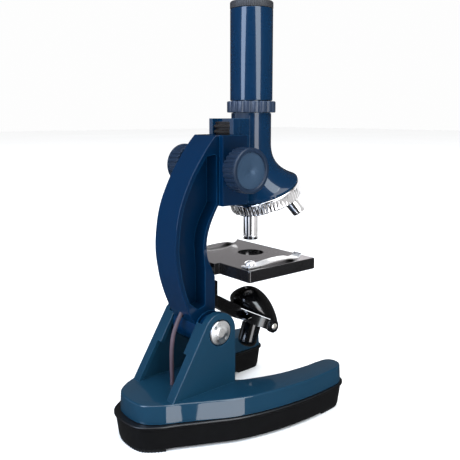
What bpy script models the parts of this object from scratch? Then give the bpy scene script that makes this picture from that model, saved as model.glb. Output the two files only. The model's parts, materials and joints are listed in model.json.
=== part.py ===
"""Student microscope: tilting arm, rack focusing, three-place nosepiece and a battery lamp.

Lengths are millimetres in a frame whose X = Y = 0 is the optical axis and whose Z = 0 is the table.
X runs towards the right-hand focus knob, Y from the user towards the prongs of the base, Z up.
"""
import math

import bmesh
import bpy
from mathutils import Vector

MM = 0.001
GAP = 0.3                      # left between two pieces that touch

OPTICAL_Y = 23.44              # the optical axis stands this far in front of the base's middle

BASE_TOP = 23.6
RIM_TOP = 14.2                 # seam between the blue casting and the black plinth
PLINTH_FLOOR = 1.6
PLINTH_WALL = 2.2
FOOT_FROM = -67.0              # the back foot lies behind this line, a prong's foot in front of the next
PRONG_FOOT_FROM = 15.0
BASE_WALL = 2.1
BASE_DRAFT = 0.4
RIM_PROUD = 1.7
TAIL = 2.2                     # the plinth reaches this much further back than the casting
BASE_OUTLINE = [(0, -79.5), (10, -77.8), (16.2, -71.5), (20.5, -63), (27, -51), (33.5, -38), (37.8, -23),
                (40.4, -8), (41.5, 8), (40.9, 24), (39.6, 30.4), (36.4, 34.2), (31.8, 34.6), (28.4, 31.6),
                (27.6, 24), (27.4, 14), (25.4, -1), (21.6, -14), (17, -24), (9, -29.6), (0, -31)]

PIVOT = (-36.5, 52.2)          # Y and Z of the hinge bolt
CHEEK_RADIUS = 10.0
CHEEK_OUT = 18.5
CHEEK_IN = 14.6
FLANGE_IN_HIGH = 10.1          # the back flange reaches this far in above its step
FLANGE_IN_LOW = 13.1
CHEEK_BACK = (-66.4, 22.5)
BOLT_RADIUS = 3.0
NUT_RADIUS = 6.3

CELL_RADIUS = 5.25
CELL_HALF = 22.25
CELL_Y = (-38.8, -49.5)
CELL_Z = 9.6

ARM_HALF = 9.2
WEB_HALF = 1.0
FLANGE = 2.1
BOSS_RADIUS = 9.2
BOSS_HALF = 13.0
SPACER_FROM = 9.8              # beyond this the boss narrows to pass the cheeks' flanges
SPACER_RADIUS = 7.4
ARM_FRONT = -32.3
HOUSING_TOP = 150.6
ARM_BACK_CURVE = [(-31.6, HOUSING_TOP), (-35.0, 147.0), (-40.0, 140.6), (-47.8, 128.8), (-54.2, 113.9),
                  (-56.7, 96.5), (-55.4, 82.8), (-52.6, 72.0), (-48.4, 61.2)]
ARM_FRONT_CURVE = [(ARM_FRONT, 78.5), (-34.2, 83.0), (-37.0, 89.5), (-37.3, 97.6), (-35.1, 105.5),
                   (-30.4, 114.3), (-27.0, 118.0)]
HOUSING_HALF = 12.0
HOUSING_Y = (-29.4, -13.0)
HOUSING_Z = (114.8, HOUSING_TOP)

SLIDE_BACK = -21.0
SLIDE_STEP = -17.0
SLIDE_HALF = 10.0
NECK_HALF = 7.5
SLIDE_Z = (114.5, 159.0)
PINION_AXIS = (-24.7, 133.8)
TOOTH_PITCH = math.pi * 0.9    # module 0.9
PINION_TEETH = 10
RACK_ROOT = -18.95
RACK_TIP = -20.25
RACK_Z = (114.8, 157.3)
RACK_SCREW_Z = (116.8, 146.0)
KNOB_RADIUS = 11.3
KNOB_X = (19.7, 28.7)
KNOB_TEETH = 28

STAGE_TOP = 85.0
STAGE_THICK = 6.05
STAGE_HALF = 31.9
STAGE_Y = (-28.9, 18.1)
STAGE_HOLE = 7.25
STAGE_SKIN = 2.4               # the plate is hollow below this thickness
STAGE_WALL = 2.6
CLIP_PIVOT = (26.0, -23.5)

TUBE_RADIUS = 10.8
TUBE_BORE = 9.3
TUBE_TOP = 161.8
FLARE_TOP = 146.0
RING_Z = (162.1, 168.1)
RING_RADIUS = 13.1
DRAW_RADIUS = 11.4
DRAW_TOP = 216.1
CAP_TOP = 220.0

TURRET_TILT = math.radians(22)
TURRET_RADIUS = 20.8
FLARE_RADIUS = 20.0
SEAT_RADIUS = 9.9              # from the turret's axis to each objective's seat, in the turret's top plane
SEAT_Z = 116.4
OBJECTIVE_TIP = 92.7

LAMP_AXIS = (2.0, 46.2)        # Y and Z of the lamp's tilting axis
LAMP_TILT = math.radians(27)
DRUM_RADIUS = 14.2


# ---------------------------------------------------------------- drawing helpers
def arc(centre, radius, start, end, steps):
    """Points on an arc, angles in degrees, both ends included."""
    angles = [math.radians(start + (end - start) * i / steps) for i in range(steps + 1)]
    return [(centre[0] + radius * math.cos(a), centre[1] + radius * math.sin(a)) for a in angles]


def smooth(points, steps=3, closed=False):
    """Catmull-Rom curve through the points."""
    pts = [Vector(p) for p in points]
    count = len(pts)
    result = []
    for i in range(count if closed else count - 1):
        p1, p2 = pts[i], pts[(i + 1) % count]
        p0 = pts[i - 1] if closed or i > 0 else p1 * 2 - p2
        p3 = pts[(i + 2) % count] if closed or i + 2 < count else p2 * 2 - p1
        for k in range(steps):
            t = k / steps
            result.append(tuple(0.5 * (2 * p1 + (p2 - p0) * t + (2 * p0 - 5 * p1 + 4 * p2 - p3) * t * t
                                       + (3 * p1 - p0 - 3 * p2 + p3) * t ** 3)))
    if not closed:
        result.append(tuple(pts[-1]))
    return result


def offset(points, distance):
    """Closed counter-clockwise outline moved outward by the distance."""
    moved = []
    for i, point in enumerate(points):
        along = Vector(points[(i + 1) % len(points)]) - Vector(points[i - 1])
        moved.append(tuple(Vector(point) + Vector((along.y, -along.x)).normalized() * distance))
    return moved


def horseshoe(distance):
    """Outline of the base's top plane, offset outward by the distance."""
    half = BASE_OUTLINE
    mirrored = [(-x, y) for x, y in reversed(half[1:-1])]
    return offset(smooth(half + mirrored, 2, closed=True), distance)


def plinth_outline(distance):
    """The horseshoe drawn out backwards, so that the plinth stands proud behind the casting."""
    return [(x, y - TAIL * min(1, max(0, (-y - 45) / 30))) for x, y in horseshoe(distance)]


def tangent_point(point, centre, radius):
    """Where the line from the point touches the upper left side of the circle."""
    to_point = Vector(point) - Vector(centre)
    angle = math.atan2(to_point.y, to_point.x) - math.acos(radius / to_point.length)
    return math.degrees(angle) % 360


# ---------------------------------------------------------------- scene helpers
def clear_scene():
    for obj in list(bpy.data.objects):
        bpy.data.objects.remove(obj)
    for name in ("microscope", "cutters"):
        old = bpy.data.collections.get(name)
        if old:
            bpy.data.collections.remove(old)
        bpy.context.scene.collection.children.link(bpy.data.collections.new(name))


def add(name, data):
    obj = bpy.data.objects.new(name, data)
    bpy.data.collections["microscope"].objects.link(obj)
    return obj


def mesh_object(name, bm):
    mesh = bpy.data.meshes.new(name)
    bmesh.ops.recalc_face_normals(bm, faces=bm.faces)
    bm.to_mesh(mesh)
    bm.free()
    return add(name, mesh)


def aim(obj, axis):
    """Turn the object so that its local Z lies along the axis."""
    obj.rotation_mode = "QUATERNION"
    obj.rotation_quaternion = Vector(axis).to_track_quat("Z", "Y")


def box(name, low, high):
    size = [(b - a) * MM for a, b in zip(low, high)]
    bm = bmesh.new()
    bmesh.ops.create_cube(bm, size=1)
    bmesh.ops.scale(bm, vec=size, verts=bm.verts)
    obj = mesh_object(name, bm)
    obj.location = [(a + b) / 2 * MM for a, b in zip(low, high)]
    return obj


def cylinder(name, radius, start, end, segments=32):
    start, end = Vector(start) * MM, Vector(end) * MM
    bm = bmesh.new()
    bmesh.ops.create_cone(bm, cap_ends=True, segments=segments, radius1=radius * MM, radius2=radius * MM,
                          depth=(end - start).length)
    obj = mesh_object(name, bm)
    obj.location = (start + end) / 2
    aim(obj, end - start)
    return obj


def turned(name, profile, base, axis=(0, 0, 1), steps=32, hollow=False):
    """Solid of revolution about the axis; the profile (radius, height) runs down the outer side."""
    bm = bmesh.new()
    verts = [bm.verts.new((r * MM, 0, z * MM)) for r, z in profile]
    for a, b in zip(verts, verts[1:]):
        bm.edges.new((a, b))
    if hollow:
        bm.edges.new((verts[-1], verts[0]))
    mesh = bpy.data.meshes.new(name)
    bm.to_mesh(mesh)
    bm.free()
    obj = add(name, mesh)
    obj.location = Vector(base) * MM
    aim(obj, axis)
    screw = obj.modifiers.new("turn", "SCREW")
    screw.steps = screw.render_steps = steps
    screw.use_merge_vertices = True
    screw.merge_threshold = 0.00001
    screw.use_smooth_shade = False
    return obj


def curve_to_mesh(obj):
    """The curve as a welded mesh object with the same name and place."""
    bpy.context.view_layer.update()
    evaluated = obj.evaluated_get(bpy.context.evaluated_depsgraph_get())
    mesh = bpy.data.meshes.new_from_object(evaluated)
    bm = bmesh.new()
    bm.from_mesh(mesh)
    bmesh.ops.remove_doubles(bm, verts=bm.verts, dist=0.000001)
    name, matrix = obj.name, obj.matrix_world.copy()
    bpy.data.objects.remove(obj)
    solid = mesh_object(name, bm)
    solid.matrix_world = matrix
    return solid


def prism(name, points, low, high, axis="Z"):
    """Flat outline given thickness along X or Z; the points are (Y, Z) or (X, Y)."""
    curve = bpy.data.curves.new(name, "CURVE")
    curve.dimensions = "2D"
    curve.fill_mode = "BOTH"
    curve.extrude = (high - low) / 2 * MM
    spline = curve.splines.new("POLY")
    spline.points.add(len(points) - 1)
    for target, point in zip(spline.points, points):
        target.co = (point[0] * MM, point[1] * MM, 0, 1)
    spline.use_cyclic_u = True
    obj = add(name, curve)
    middle = (low + high) / 2 * MM
    if axis == "X":
        obj.rotation_euler = (math.pi / 2, 0, math.pi / 2)
        obj.location = (middle, 0, 0)
    else:
        obj.location = (0, 0, middle)
    return curve_to_mesh(obj)


def loft(name, rings):
    """Solid skinned over closed rings of equal length, with a flat cap at each end."""
    bm = bmesh.new()
    rows = [[bm.verts.new(Vector(p) * MM) for p in ring] for ring in rings]
    for upper, lower in zip(rows, rows[1:]):
        for i in range(len(upper)):
            k = (i + 1) % len(upper)
            bm.faces.new((upper[i], upper[k], lower[k], lower[i]))
    bm.faces.new(rows[0])
    bm.faces.new(rows[-1])
    return mesh_object(name, bm)


def wire(name, points, radius, resolution=2):
    curve = bpy.data.curves.new(name, "CURVE")
    curve.dimensions = "3D"
    curve.bevel_depth = radius * MM
    curve.bevel_resolution = resolution
    curve.use_fill_caps = True
    spline = curve.splines.new("POLY")
    spline.points.add(len(points) - 1)
    for target, point in zip(spline.points, points):
        target.co = (*(Vector(point) * MM), 1)
    return add(name, curve)


def boolean(target, operation, tools):
    for tool in tools:
        for collection in list(tool.users_collection):
            collection.objects.unlink(tool)
        bpy.data.collections["cutters"].objects.link(tool)
        tool.hide_render = True
        tool.display_type = "WIRE"
        modifier = target.modifiers.new(operation.lower(), "BOOLEAN")
        modifier.operation = operation
        modifier.object = tool
    return target


def cut(target, *tools):
    return boolean(target, "DIFFERENCE", tools)


def join(target, *tools):
    return boolean(target, "UNION", tools)


def soften(obj, width, angle=50):
    """Bevel the object's sharp edges."""
    bevel = obj.modifiers.new("soften", "BEVEL")
    bevel.width = width * MM
    bevel.segments = 1
    bevel.limit_method = "ANGLE"
    bevel.angle_limit = math.radians(angle)
    return obj


def finish(surface, *objects):
    for obj in objects:
        obj.data.materials.clear()
        obj.data.materials.append(surface)
        if obj.type == "MESH":
            obj.data.shade_smooth()
            obj.data.set_sharp_from_angle(angle=math.radians(35))


def material(name, colour, roughness, metallic=0.0, transmission=0.0):
    made = bpy.data.materials.new(name)
    made.use_nodes = True
    shader = made.node_tree.nodes["Principled BSDF"]
    shader.inputs["Base Color"].default_value = (*colour, 1)
    shader.inputs["Roughness"].default_value = roughness
    shader.inputs["Metallic"].default_value = metallic
    shader.inputs["Transmission Weight"].default_value = transmission
    return made


# ---------------------------------------------------------------- base
SCREW_PLACES = [(13.2, -63.0), (-13.2, -63.0), (35.2, 8.0), (-35.2, 8.0)]
POST_RADIUS = 3.4
SEAM = RIM_TOP + GAP


def base_shell():
    """Horseshoe casting, open below, with bosses for the plinth screws."""
    rings = [[(x, y, z) for x, y in horseshoe(d)]
             for z, d in ((BASE_TOP, -0.8), (BASE_TOP - 0.6, -0.15), (SEAM, BASE_DRAFT))]
    shell = loft("base_casting", rings)
    hollow = loft("base_hollow", [[(x, y, z) for x, y in horseshoe(-BASE_WALL)]
                                  for z in (BASE_TOP - 2.4, SEAM - 3)])
    cut(shell, hollow)
    for i, (x, y) in enumerate(SCREW_PLACES):
        join(shell, cylinder(f"boss_{i}", POST_RADIUS, (x, y, SEAM), (x, y, BASE_TOP - 1.5), 16))
    for i, (x, y) in enumerate(SCREW_PLACES):
        cut(shell, cylinder(f"pilot_{i}", 1.5, (x, y, SEAM - 1), (x, y, SEAM + 5.5), 12))
    return shell


def cheek(side):
    """One hinge cheek: a plate with an arched top and a flange along its sloping back."""
    touch = tangent_point(CHEEK_BACK, PIVOT, CHEEK_RADIUS)
    outline = [CHEEK_BACK, (PIVOT[0] + CHEEK_RADIUS, CHEEK_BACK[1])]
    outline += arc(PIVOT, CHEEK_RADIUS, 0, touch, 14)
    xs = sorted((FLANGE_IN_HIGH * side, CHEEK_OUT * side))
    plate = prism(f"cheek_{side}", outline, xs[0], xs[1], "X")

    top = Vector(arc(PIVOT, CHEEK_RADIUS, touch, touch, 1)[0])
    foot = Vector(CHEEK_BACK)
    along = (top - foot).normalized()
    across = Vector((along.y, -along.x)) * 2.2
    inside = [foot + across - along * 6, Vector((0, foot.y - 6)), Vector((0, 80)), top - across * 5,
              top + across]
    xs = sorted((0, CHEEK_IN * side))
    cut(plate, prism(f"cheek_pocket_{side}", inside, xs[0], xs[1], "X"))
    step = foot + along * 24.5
    below = [foot - across * 3 - along * 6, foot + across * 3 - along * 6, step + across * 3,
             step - across * 3]
    xs = sorted((0, FLANGE_IN_LOW * side))
    cut(plate, prism(f"cheek_notch_{side}", below, xs[0], xs[1], "X"))
    return plate


def build_base(blue):
    casting = base_shell()
    join(casting, cheek(1), cheek(-1))
    axis = [(x, PIVOT[0], PIVOT[1]) for x in (-30, 30)]
    cut(casting, cylinder("hinge_hole", BOLT_RADIUS + GAP, axis[0], axis[1], 24))
    for side in (1, -1):
        cut(casting, cylinder(f"counterbore_{side}", NUT_RADIUS + 0.7, ((CHEEK_OUT - 1.2) * side, *PIVOT),
                              ((CHEEK_OUT + 2) * side, *PIVOT), 32))
    cut(casting, cylinder("lead_hole", LEAD_RADIUS + 0.5, (0, LEAD_Y, 18), (0, LEAD_Y, 26), 16))
    finish(blue, casting)
    return [casting]


def build_plinth(black, rubber, steel):
    """Plastic tray under the casting, with the battery hatch, posts, feet and screws."""
    levels = ((RIM_TOP, RIM_PROUD), (RIM_TOP - 1.3, RIM_PROUD), (RIM_TOP - 1.8, 0.8), (PLINTH_FLOOR, -0.7))
    plinth = loft("base_plinth", [[(x, y, z) for x, y in plinth_outline(d)] for z, d in levels])
    cut(plinth, loft("plinth_hollow", [[(x, y, z) for x, y in horseshoe(-PLINTH_WALL)]
                                       for z in (RIM_TOP + 2, PLINTH_FLOOR + 2.5)]))
    for i, (x, y) in enumerate(SCREW_PLACES):
        join(plinth, cylinder(f"post_{i}", POST_RADIUS + 0.3, (x, y, PLINTH_FLOOR + 1), (x, y, RIM_TOP), 16))
    for side in (1, -1):
        join(plinth, box(f"rib_{side}", (24.2 * side - 0.8, -53.5, 3), (24.2 * side + 0.8, -33.5, 13)))
    join(plinth, cylinder("hatch_post", 3.0, (0, -61.0, 3), (0, -61.0, 9), 16))
    cut(plinth, box("hatch_recess", (-22.6, -56.0, 0), (22.6, -34.5, PLINTH_FLOOR + 1.3)),
        box("hatch_tab_recess", (-4.3, -64.5, 0), (4.3, -55.0, PLINTH_FLOOR + 1.3)),
        box("hatch_opening", (-21.4, -54.8, 0), (21.4, -35.8, 6)),
        cylinder("hatch_pilot", 1.3, (0, -61.0, 0), (0, -61.0, 8), 12))
    for i, (x, y) in enumerate(SCREW_PLACES):
        cut(plinth, cylinder(f"through_{i}", 1.5, (x, y, 0), (x, y, RIM_TOP + 2), 12),
            cylinder(f"sink_{i}", 2.7, (x, y, 0), (x, y, 4.0), 16))
    finish(black, plinth)

    cover = box("battery_cover", (-22.3, -55.7, PLINTH_FLOOR), (22.3, -34.8, PLINTH_FLOOR + 1.0))
    join(cover, box("cover_tab", (-4.0, -64.2, PLINTH_FLOOR), (4.0, -55.0, PLINTH_FLOOR + 1.0)))
    cut(cover, cylinder("cover_hole", 1.3, (0, -61.0, 0), (0, -61.0, 8), 12),
        cylinder("cover_sink", 2.3, (0, -61.0, 0), (0, -61.0, PLINTH_FLOOR + 0.7), 16))
    finish(black, cover)
    cover_screw = turned("battery_cover_screw", [(0, 5.6), (0.9, 5.2), (0.9, 0.4), (1.9, 0.4), (1.9, -0.3),
                                                 (0, -0.3)], (0, -61.0, PLINTH_FLOOR), steps=12)
    screws = [cover_screw]
    for i, (x, y) in enumerate(SCREW_PLACES):
        screws.append(turned(f"base_screw_{i + 1}", [(0, 14.6), (1.15, 14.0), (1.15, 0.0), (2.4, 0.0),
                                                     (2.4, -1.6), (0, -1.6)], (x, y, 3.6), steps=12))
    finish(steel, *screws)

    level = plinth_outline(-1.1)
    back = [p for p in level if p[1] < FOOT_FROM]
    feet = [foot("foot_back", back)]
    for side, name in ((1, "foot_right"), (-1, "foot_left")):
        feet.append(foot(name, [p for p in level if p[1] > PRONG_FOOT_FROM and p[0] * side > 0]))
    finish(rubber, *feet)
    return [plinth, cover, *screws, *feet]


def foot(name, outline):
    """Ribbed pad under the plinth; the outline starts and ends on its straight inner edge."""
    start = max(range(len(outline)), key=lambda i: (Vector(outline[i]) - Vector(outline[i - 1])).length)
    outline = outline[start:] + outline[:start]
    return prism(name, outline, 0, PLINTH_FLOOR - GAP)


def build_batteries(cell, steel):
    cells = []
    for name, y, pole in (("battery_a", CELL_Y[0], 1), ("battery_b", CELL_Y[1], -1)):
        profile = [(0, CELL_HALF), (1.9, CELL_HALF), (1.9, CELL_HALF - 0.9), (4.9, CELL_HALF - 0.9),
                   (CELL_RADIUS, CELL_HALF - 1.3), (CELL_RADIUS, 0.3 - CELL_HALF), (4.9, -CELL_HALF),
                   (0, -CELL_HALF)]
        cells.append(turned(name, profile, (0, y, CELL_Z), (pole, 0, 0), steps=18))
    finish(cell, *cells)
    low, high = CELL_Z - 3.2, CELL_Z + 3.2
    plate = box("battery_contact_plate", (22.65, CELL_Y[0] - 3.5, low), (23.05, CELL_Y[0] + 3.5, high + 2))
    bridge = box("battery_contact_bridge", (-23.05, CELL_Y[1] - 3.5, low), (-22.65, CELL_Y[0] + 3.5, high))
    leaf = box("battery_contact_leaf", (22.65, CELL_Y[1] - 3.5, low), (23.05, CELL_Y[1] + 3.5, high + 2))
    finish(steel, plate, bridge, leaf)
    return [*cells, plate, bridge, leaf]


LEAD_RADIUS = 1.1
LEAD_Y = -53.4


def build_lead(rubber):
    """Twin lead from the base's hollow up into the arm's lower end."""
    route = [(0, LEAD_Y + 2.5, 17.0), (0, LEAD_Y, 20.0), (0, LEAD_Y, 26), (0, LEAD_Y - 0.2, 34),
             (0, LEAD_Y - 0.1, 42), (0, LEAD_Y + 0.9, 49), (0, LEAD_Y + 3.2, 55), (0, LEAD_Y + 6.4, 60.5)]
    lead = wire("lead_wire", smooth(route, 4), LEAD_RADIUS)
    finish(rubber, lead)
    return [lead]


def build_hinge(steel, friction):
    """Bolt along X with its head on the left, nut on the right, and a friction washer at each cheek."""
    seat = CHEEK_OUT - 1.2 + GAP
    head = [(0, seat + 2.3), (2.6, seat + 2.2), (3.4, seat + 1.6), (5.9, seat + 1.5),
            (NUT_RADIUS, seat + 0.9), (NUT_RADIUS, seat), (BOLT_RADIUS, seat), (BOLT_RADIUS, -seat - 0.6),
            (0, -seat - 0.6)]
    bolt = turned("pivot_bolt", head, (0, *PIVOT), (-1, 0, 0), steps=24)
    nut_profile = [(0, 2.3), (2.6, 2.2), (3.4, 1.6), (5.9, 1.5), (NUT_RADIUS, 0.9), (NUT_RADIUS, 0),
                   (BOLT_RADIUS + GAP, 0), (BOLT_RADIUS + GAP, 1.0), (0, 1.0)]
    nut = turned("pivot_nut", nut_profile, (seat, *PIVOT), (1, 0, 0), steps=24)
    for i, angle in enumerate((135, 315)):
        y = PIVOT[0] + 4.7 * math.cos(math.radians(angle))
        z = PIVOT[1] + 4.7 * math.sin(math.radians(angle))
        cut(nut, cylinder(f"nut_hole_{i}", 0.75, (seat + 0.4, y, z), (seat + 4, y, z), 12))
    finish(steel, bolt, nut)
    washers = []
    for side, name in ((1, "friction_washer_right"), (-1, "friction_washer_left")):
        ring = [(SPACER_RADIUS, 0.5), (SPACER_RADIUS, -0.5), (BOLT_RADIUS + GAP, -0.5),
                (BOLT_RADIUS + GAP, 0.5)]
        washers.append(turned(name, ring, ((CHEEK_IN - 0.8) * side, *PIVOT), (1, 0, 0), 24, hollow=True))
    finish(friction, *washers)
    return [bolt, nut, *washers]


# ---------------------------------------------------------------- arm
def arm_outline():
    """Side view of the arm (Y, Z), counter-clockwise from the hinge boss's front."""
    touch = math.degrees(math.asin((ARM_FRONT - PIVOT[0]) / BOSS_RADIUS))
    front = [(ARM_FRONT, PIVOT[1] + BOSS_RADIUS * math.cos(math.radians(touch)))]
    front += smooth(ARM_FRONT_CURVE, 3)
    back = smooth(ARM_BACK_CURVE, 3)
    return front + [(-20.0, 118.0), (-20.0, HOUSING_TOP)] + back + arc(PIVOT, BOSS_RADIUS, 158, 418, 14)


def pocket_outline():
    """Recess on each face of the arm, inside its flanges (Y, Z)."""
    back = []
    curve = smooth(ARM_BACK_CURVE[1:], 3)
    for before, point, after in zip(curve, curve[1:], curve[2:]):
        along = Vector(after) - Vector(before)
        back.append(tuple(Vector(point) + Vector((-along.y, along.x)).normalized() * FLANGE))
    front = [(-38.9, 64.5), (-38.9, 84.0), (-39.4, 90.5), (-39.5, 97.6), (-37.3, 106.0), (-31.3, 116.2)]
    back = [p for p in back if 67.0 < p[1] < 141.0 and p[0] < -33.5]
    return [(-43.6, 63.4), (-38.9, 64.5)] + front[1:] + [(-31.3, 141.5)] + back


def build_arm(blue):
    arm = prism("arm", arm_outline(), -ARM_HALF, ARM_HALF, "X")
    for side in (1, -1):
        xs = sorted((WEB_HALF * side, 20 * side))
        cut(arm, prism(f"arm_pocket_{side}", pocket_outline(), xs[0], xs[1], "X"))
    housing = box("slide_housing", (-HOUSING_HALF, HOUSING_Y[0], HOUSING_Z[0]),
                  (HOUSING_HALF, HOUSING_Y[1], HOUSING_Z[1]))
    join(arm, soften(housing, 0.5))
    join(arm, cylinder("hinge_boss", BOSS_RADIUS, (-SPACER_FROM, *PIVOT), (SPACER_FROM, *PIVOT), 36),
         cylinder("hinge_spacer", SPACER_RADIUS, (-BOSS_HALF, *PIVOT), (BOSS_HALF, *PIVOT), 28))
    cut(arm, cylinder("bolt_bore", BOLT_RADIUS + GAP, (-30, *PIVOT), (30, *PIVOT), 24))
    slot_back, slot_front = SLIDE_BACK - GAP, SLIDE_STEP + GAP
    cut(arm, box("slide_slot", (-SLIDE_HALF - GAP, slot_back, 100), (SLIDE_HALF + GAP, slot_front, 170)),
        box("neck_slot", (-NECK_HALF - GAP, slot_front - 1, 100), (NECK_HALF + GAP, 0, 170)),
        cylinder("pinion_pocket", 5.5, (-6.4, *PINION_AXIS), (6.4, *PINION_AXIS), 32),
        cylinder("shaft_hole", 2.3, (-20, *PINION_AXIS), (20, *PINION_AXIS), 20))
    for side in (1, -1):
        cut(arm, cylinder(f"stage_pin_hole_{side}", 1.5 + GAP, (4.8 * side, -37.0, 80.8),
                          (4.8 * side, -20, 80.8), 12))
    cut(arm, cylinder("bracket_screw_hole", 1.5, (0, -34, 70.0), (0, -30, 70.0), 12))
    cut(arm, wire_cutter())
    finish(blue, arm)
    return [arm]


def wire_cutter():
    """Blind hole in the arm's lower end that takes the lead."""
    return cylinder("lead_socket", LEAD_RADIUS + 0.6, (0, LEAD_Y + 0.3, 48.5), (0, LEAD_Y + 8.2, 63.5), 16)


def build_stage(black, steel, chrome):
    low = STAGE_TOP - STAGE_THICK
    stage = box("stage_plate", (-STAGE_HALF, STAGE_Y[0], low), (STAGE_HALF, STAGE_Y[1], STAGE_TOP))
    soften(stage, 0.8)
    join(stage, box("stage_lug", (-8.0, ARM_FRONT + GAP, low), (8.0, STAGE_Y[0] + 1, STAGE_TOP)))
    cut(stage, box("stage_hollow", (STAGE_WALL - STAGE_HALF, STAGE_Y[0] + 7, low - 1),
                   (STAGE_HALF - STAGE_WALL, STAGE_Y[1] - STAGE_WALL, STAGE_TOP - STAGE_SKIN)))
    join(stage, cylinder("stage_collar", STAGE_HOLE + 2, (0, 0, low + 0.6), (0, 0, STAGE_TOP - 1), 32))
    cut(stage, cylinder("stage_hole", STAGE_HOLE, (0, 0, 70), (0, 0, 90), 32))
    for side in (1, -1):
        cut(stage, cylinder(f"stage_bore_{side}", 1.5 + GAP, (4.8 * side, -40, 80.8),
                            (4.8 * side, -24.0, 80.8), 12),
            cylinder(f"clip_tap_{side}", 1.2, (CLIP_PIVOT[0] * side, CLIP_PIVOT[1], 79.8),
                     (CLIP_PIVOT[0] * side, CLIP_PIVOT[1], 90), 12))
    finish(black, stage)
    screws = []
    for side, name in ((1, "stage_pin_right"), (-1, "stage_pin_left")):
        screws.append(cylinder(name, 1.5, (4.8 * side, -36.6, 80.8), (4.8 * side, -24.4, 80.8), 14))
    finish(steel, *screws)
    clips = []
    for side, name in ((1, "stage_clip_right"), (-1, "stage_clip_left")):
        clips.append(stage_clip(name, side))
    finish(chrome, *clips)
    collars = []
    for side, name in ((1, "clip_screw_right"), (-1, "clip_screw_left")):
        profile = [(0, 3.6), (1.5, 3.5), (2.7, 2.7), (2.7, 1.5), (0.9, 1.5), (0.9, -4.6), (0, -4.8)]
        collars.append(turned(name, profile, (CLIP_PIVOT[0] * side, CLIP_PIVOT[1], STAGE_TOP), steps=16))
    finish(chrome, *collars)
    return [stage, *screws, *clips, *collars]


def stage_clip(name, side):
    """Spring strip with an eye at its screw and a nose turned up at its free end."""
    x, y = CLIP_PIVOT[0] * side, CLIP_PIVOT[1]
    route = [(y - 3.4, 0.3), (y, 0.3), (y + 5, 0.4), (y + 15, 1.3), (y + 25, 1.2), (y + 29.5, 0.3),
             (y + 32.0, 0.6), (y + 34.0, 2.4)]
    thick = 0.7
    upper = [(a, STAGE_TOP + b + thick) for a, b in smooth(route, 3)]
    lower = [(a, STAGE_TOP + b) for a, b in smooth(route, 3)]
    strip = prism(name, lower + upper[::-1], x - 2.9, x + 2.9, "X")
    cut(strip, cylinder(f"{name}_eye", 1.25, (x, y, STAGE_TOP - 2), (x, y, STAGE_TOP + 4), 12))
    return strip


def build_focus(plastic, steel):
    """Pinion cut on its shaft, with a knob at each end."""
    outline = []
    for i in range(PINION_TEETH):
        centre = 360 / PINION_TEETH * i
        for radius, angle in ((4.0, -10.7), (5.15, -3.9), (5.15, 3.9), (4.0, 10.7)):
            a = math.radians(centre + angle)
            outline.append((PINION_AXIS[0] + radius * math.cos(a), PINION_AXIS[1] + radius * math.sin(a)))
    pinion = prism("pinion_shaft", outline, -5.6, 5.6, "X")
    shaft_end = KNOB_X[1] - 3.0
    join(pinion, cylinder("shaft", 2.0, (-shaft_end, *PINION_AXIS), (shaft_end, *PINION_AXIS), 20))
    finish(steel, pinion)
    knobs = [focus_knob("focus_knob_right", 1), focus_knob("focus_knob_left", -1)]
    finish(plastic, *knobs)
    return [pinion, *knobs]


def focus_knob(name, side):
    """Knob with a coarse toothed band, a raised rim and a sunk face, on a hub against the housing."""
    outline = []
    for i in range(KNOB_TEETH):
        centre = 360 / KNOB_TEETH * i
        for radius, angle in ((KNOB_RADIUS - 0.7, -4.4), (KNOB_RADIUS, -2.4), (KNOB_RADIUS, 2.4),
                              (KNOB_RADIUS - 0.7, 4.4)):
            a = math.radians(centre + angle)
            outline.append((PINION_AXIS[0] + radius * math.cos(a), PINION_AXIS[1] + radius * math.sin(a)))
    xs = sorted((KNOB_X[0] * side, KNOB_X[1] * side))
    knob = prism(name, outline, xs[0], xs[1], "X")
    out = KNOB_X[1] * side
    join(knob, cylinder(f"{name}_hub", 5.6, ((HOUSING_HALF + 0.4) * side, *PINION_AXIS),
                        ((KNOB_X[0] + 1) * side, *PINION_AXIS), 24))
    cut(knob, turned(f"{name}_face", [(0, 3), (9.4, 3), (9.4, 0.35), (0, 0)],
                     (out - 1.3 * side, *PINION_AXIS), (side, 0, 0), 30),
        cylinder(f"{name}_bore", 2.0 + GAP, (5 * side, *PINION_AXIS), (out - 2.7 * side, *PINION_AXIS), 18))
    return knob


# ---------------------------------------------------------------- body tube and turret
DOWN = Vector((0, math.sin(TURRET_TILT), -math.cos(TURRET_TILT)))        # the turret's axis
INWARD = Vector((0, -math.cos(TURRET_TILT), -math.sin(TURRET_TILT)))     # from it to the active seat
TURRET_CENTRE = Vector((0, 0, SEAT_Z)) - INWARD * SEAT_RADIUS


def tilted_ring(centre, radius, count):
    side = Vector((1, 0, 0))
    points = []
    for i in range(count):
        a = math.tau * i / count
        points.append(centre + side * radius * math.sin(a) - INWARD * radius * math.cos(a))
    return points


def flare(count=36, levels=5):
    """Bell between the round tube and the tilted face that carries the turret."""
    bottom = tilted_ring(TURRET_CENTRE - DOWN * GAP, FLARE_RADIUS, count)
    lip = tilted_ring(TURRET_CENTRE - DOWN * (GAP + 1.1), FLARE_RADIUS, count)
    rings = []
    for k in range(levels + 1):
        t = k / levels
        ring = []
        for i in range(count):
            a = math.tau * i / count
            top = Vector((TUBE_RADIUS * math.sin(a), TUBE_RADIUS * math.cos(a), FLARE_TOP))
            end = lip[i]
            bend = Vector((top.x, top.y, end.z + 3.0 + 2.0 * math.cos(a)))
            ring.append(top * (1 - t) ** 2 + bend * 2 * t * (1 - t) + end * t * t)
        rings.append(ring)
    return [[(p.x, p.y, TUBE_TOP) for p in rings[0]]] + rings + [bottom]


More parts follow.
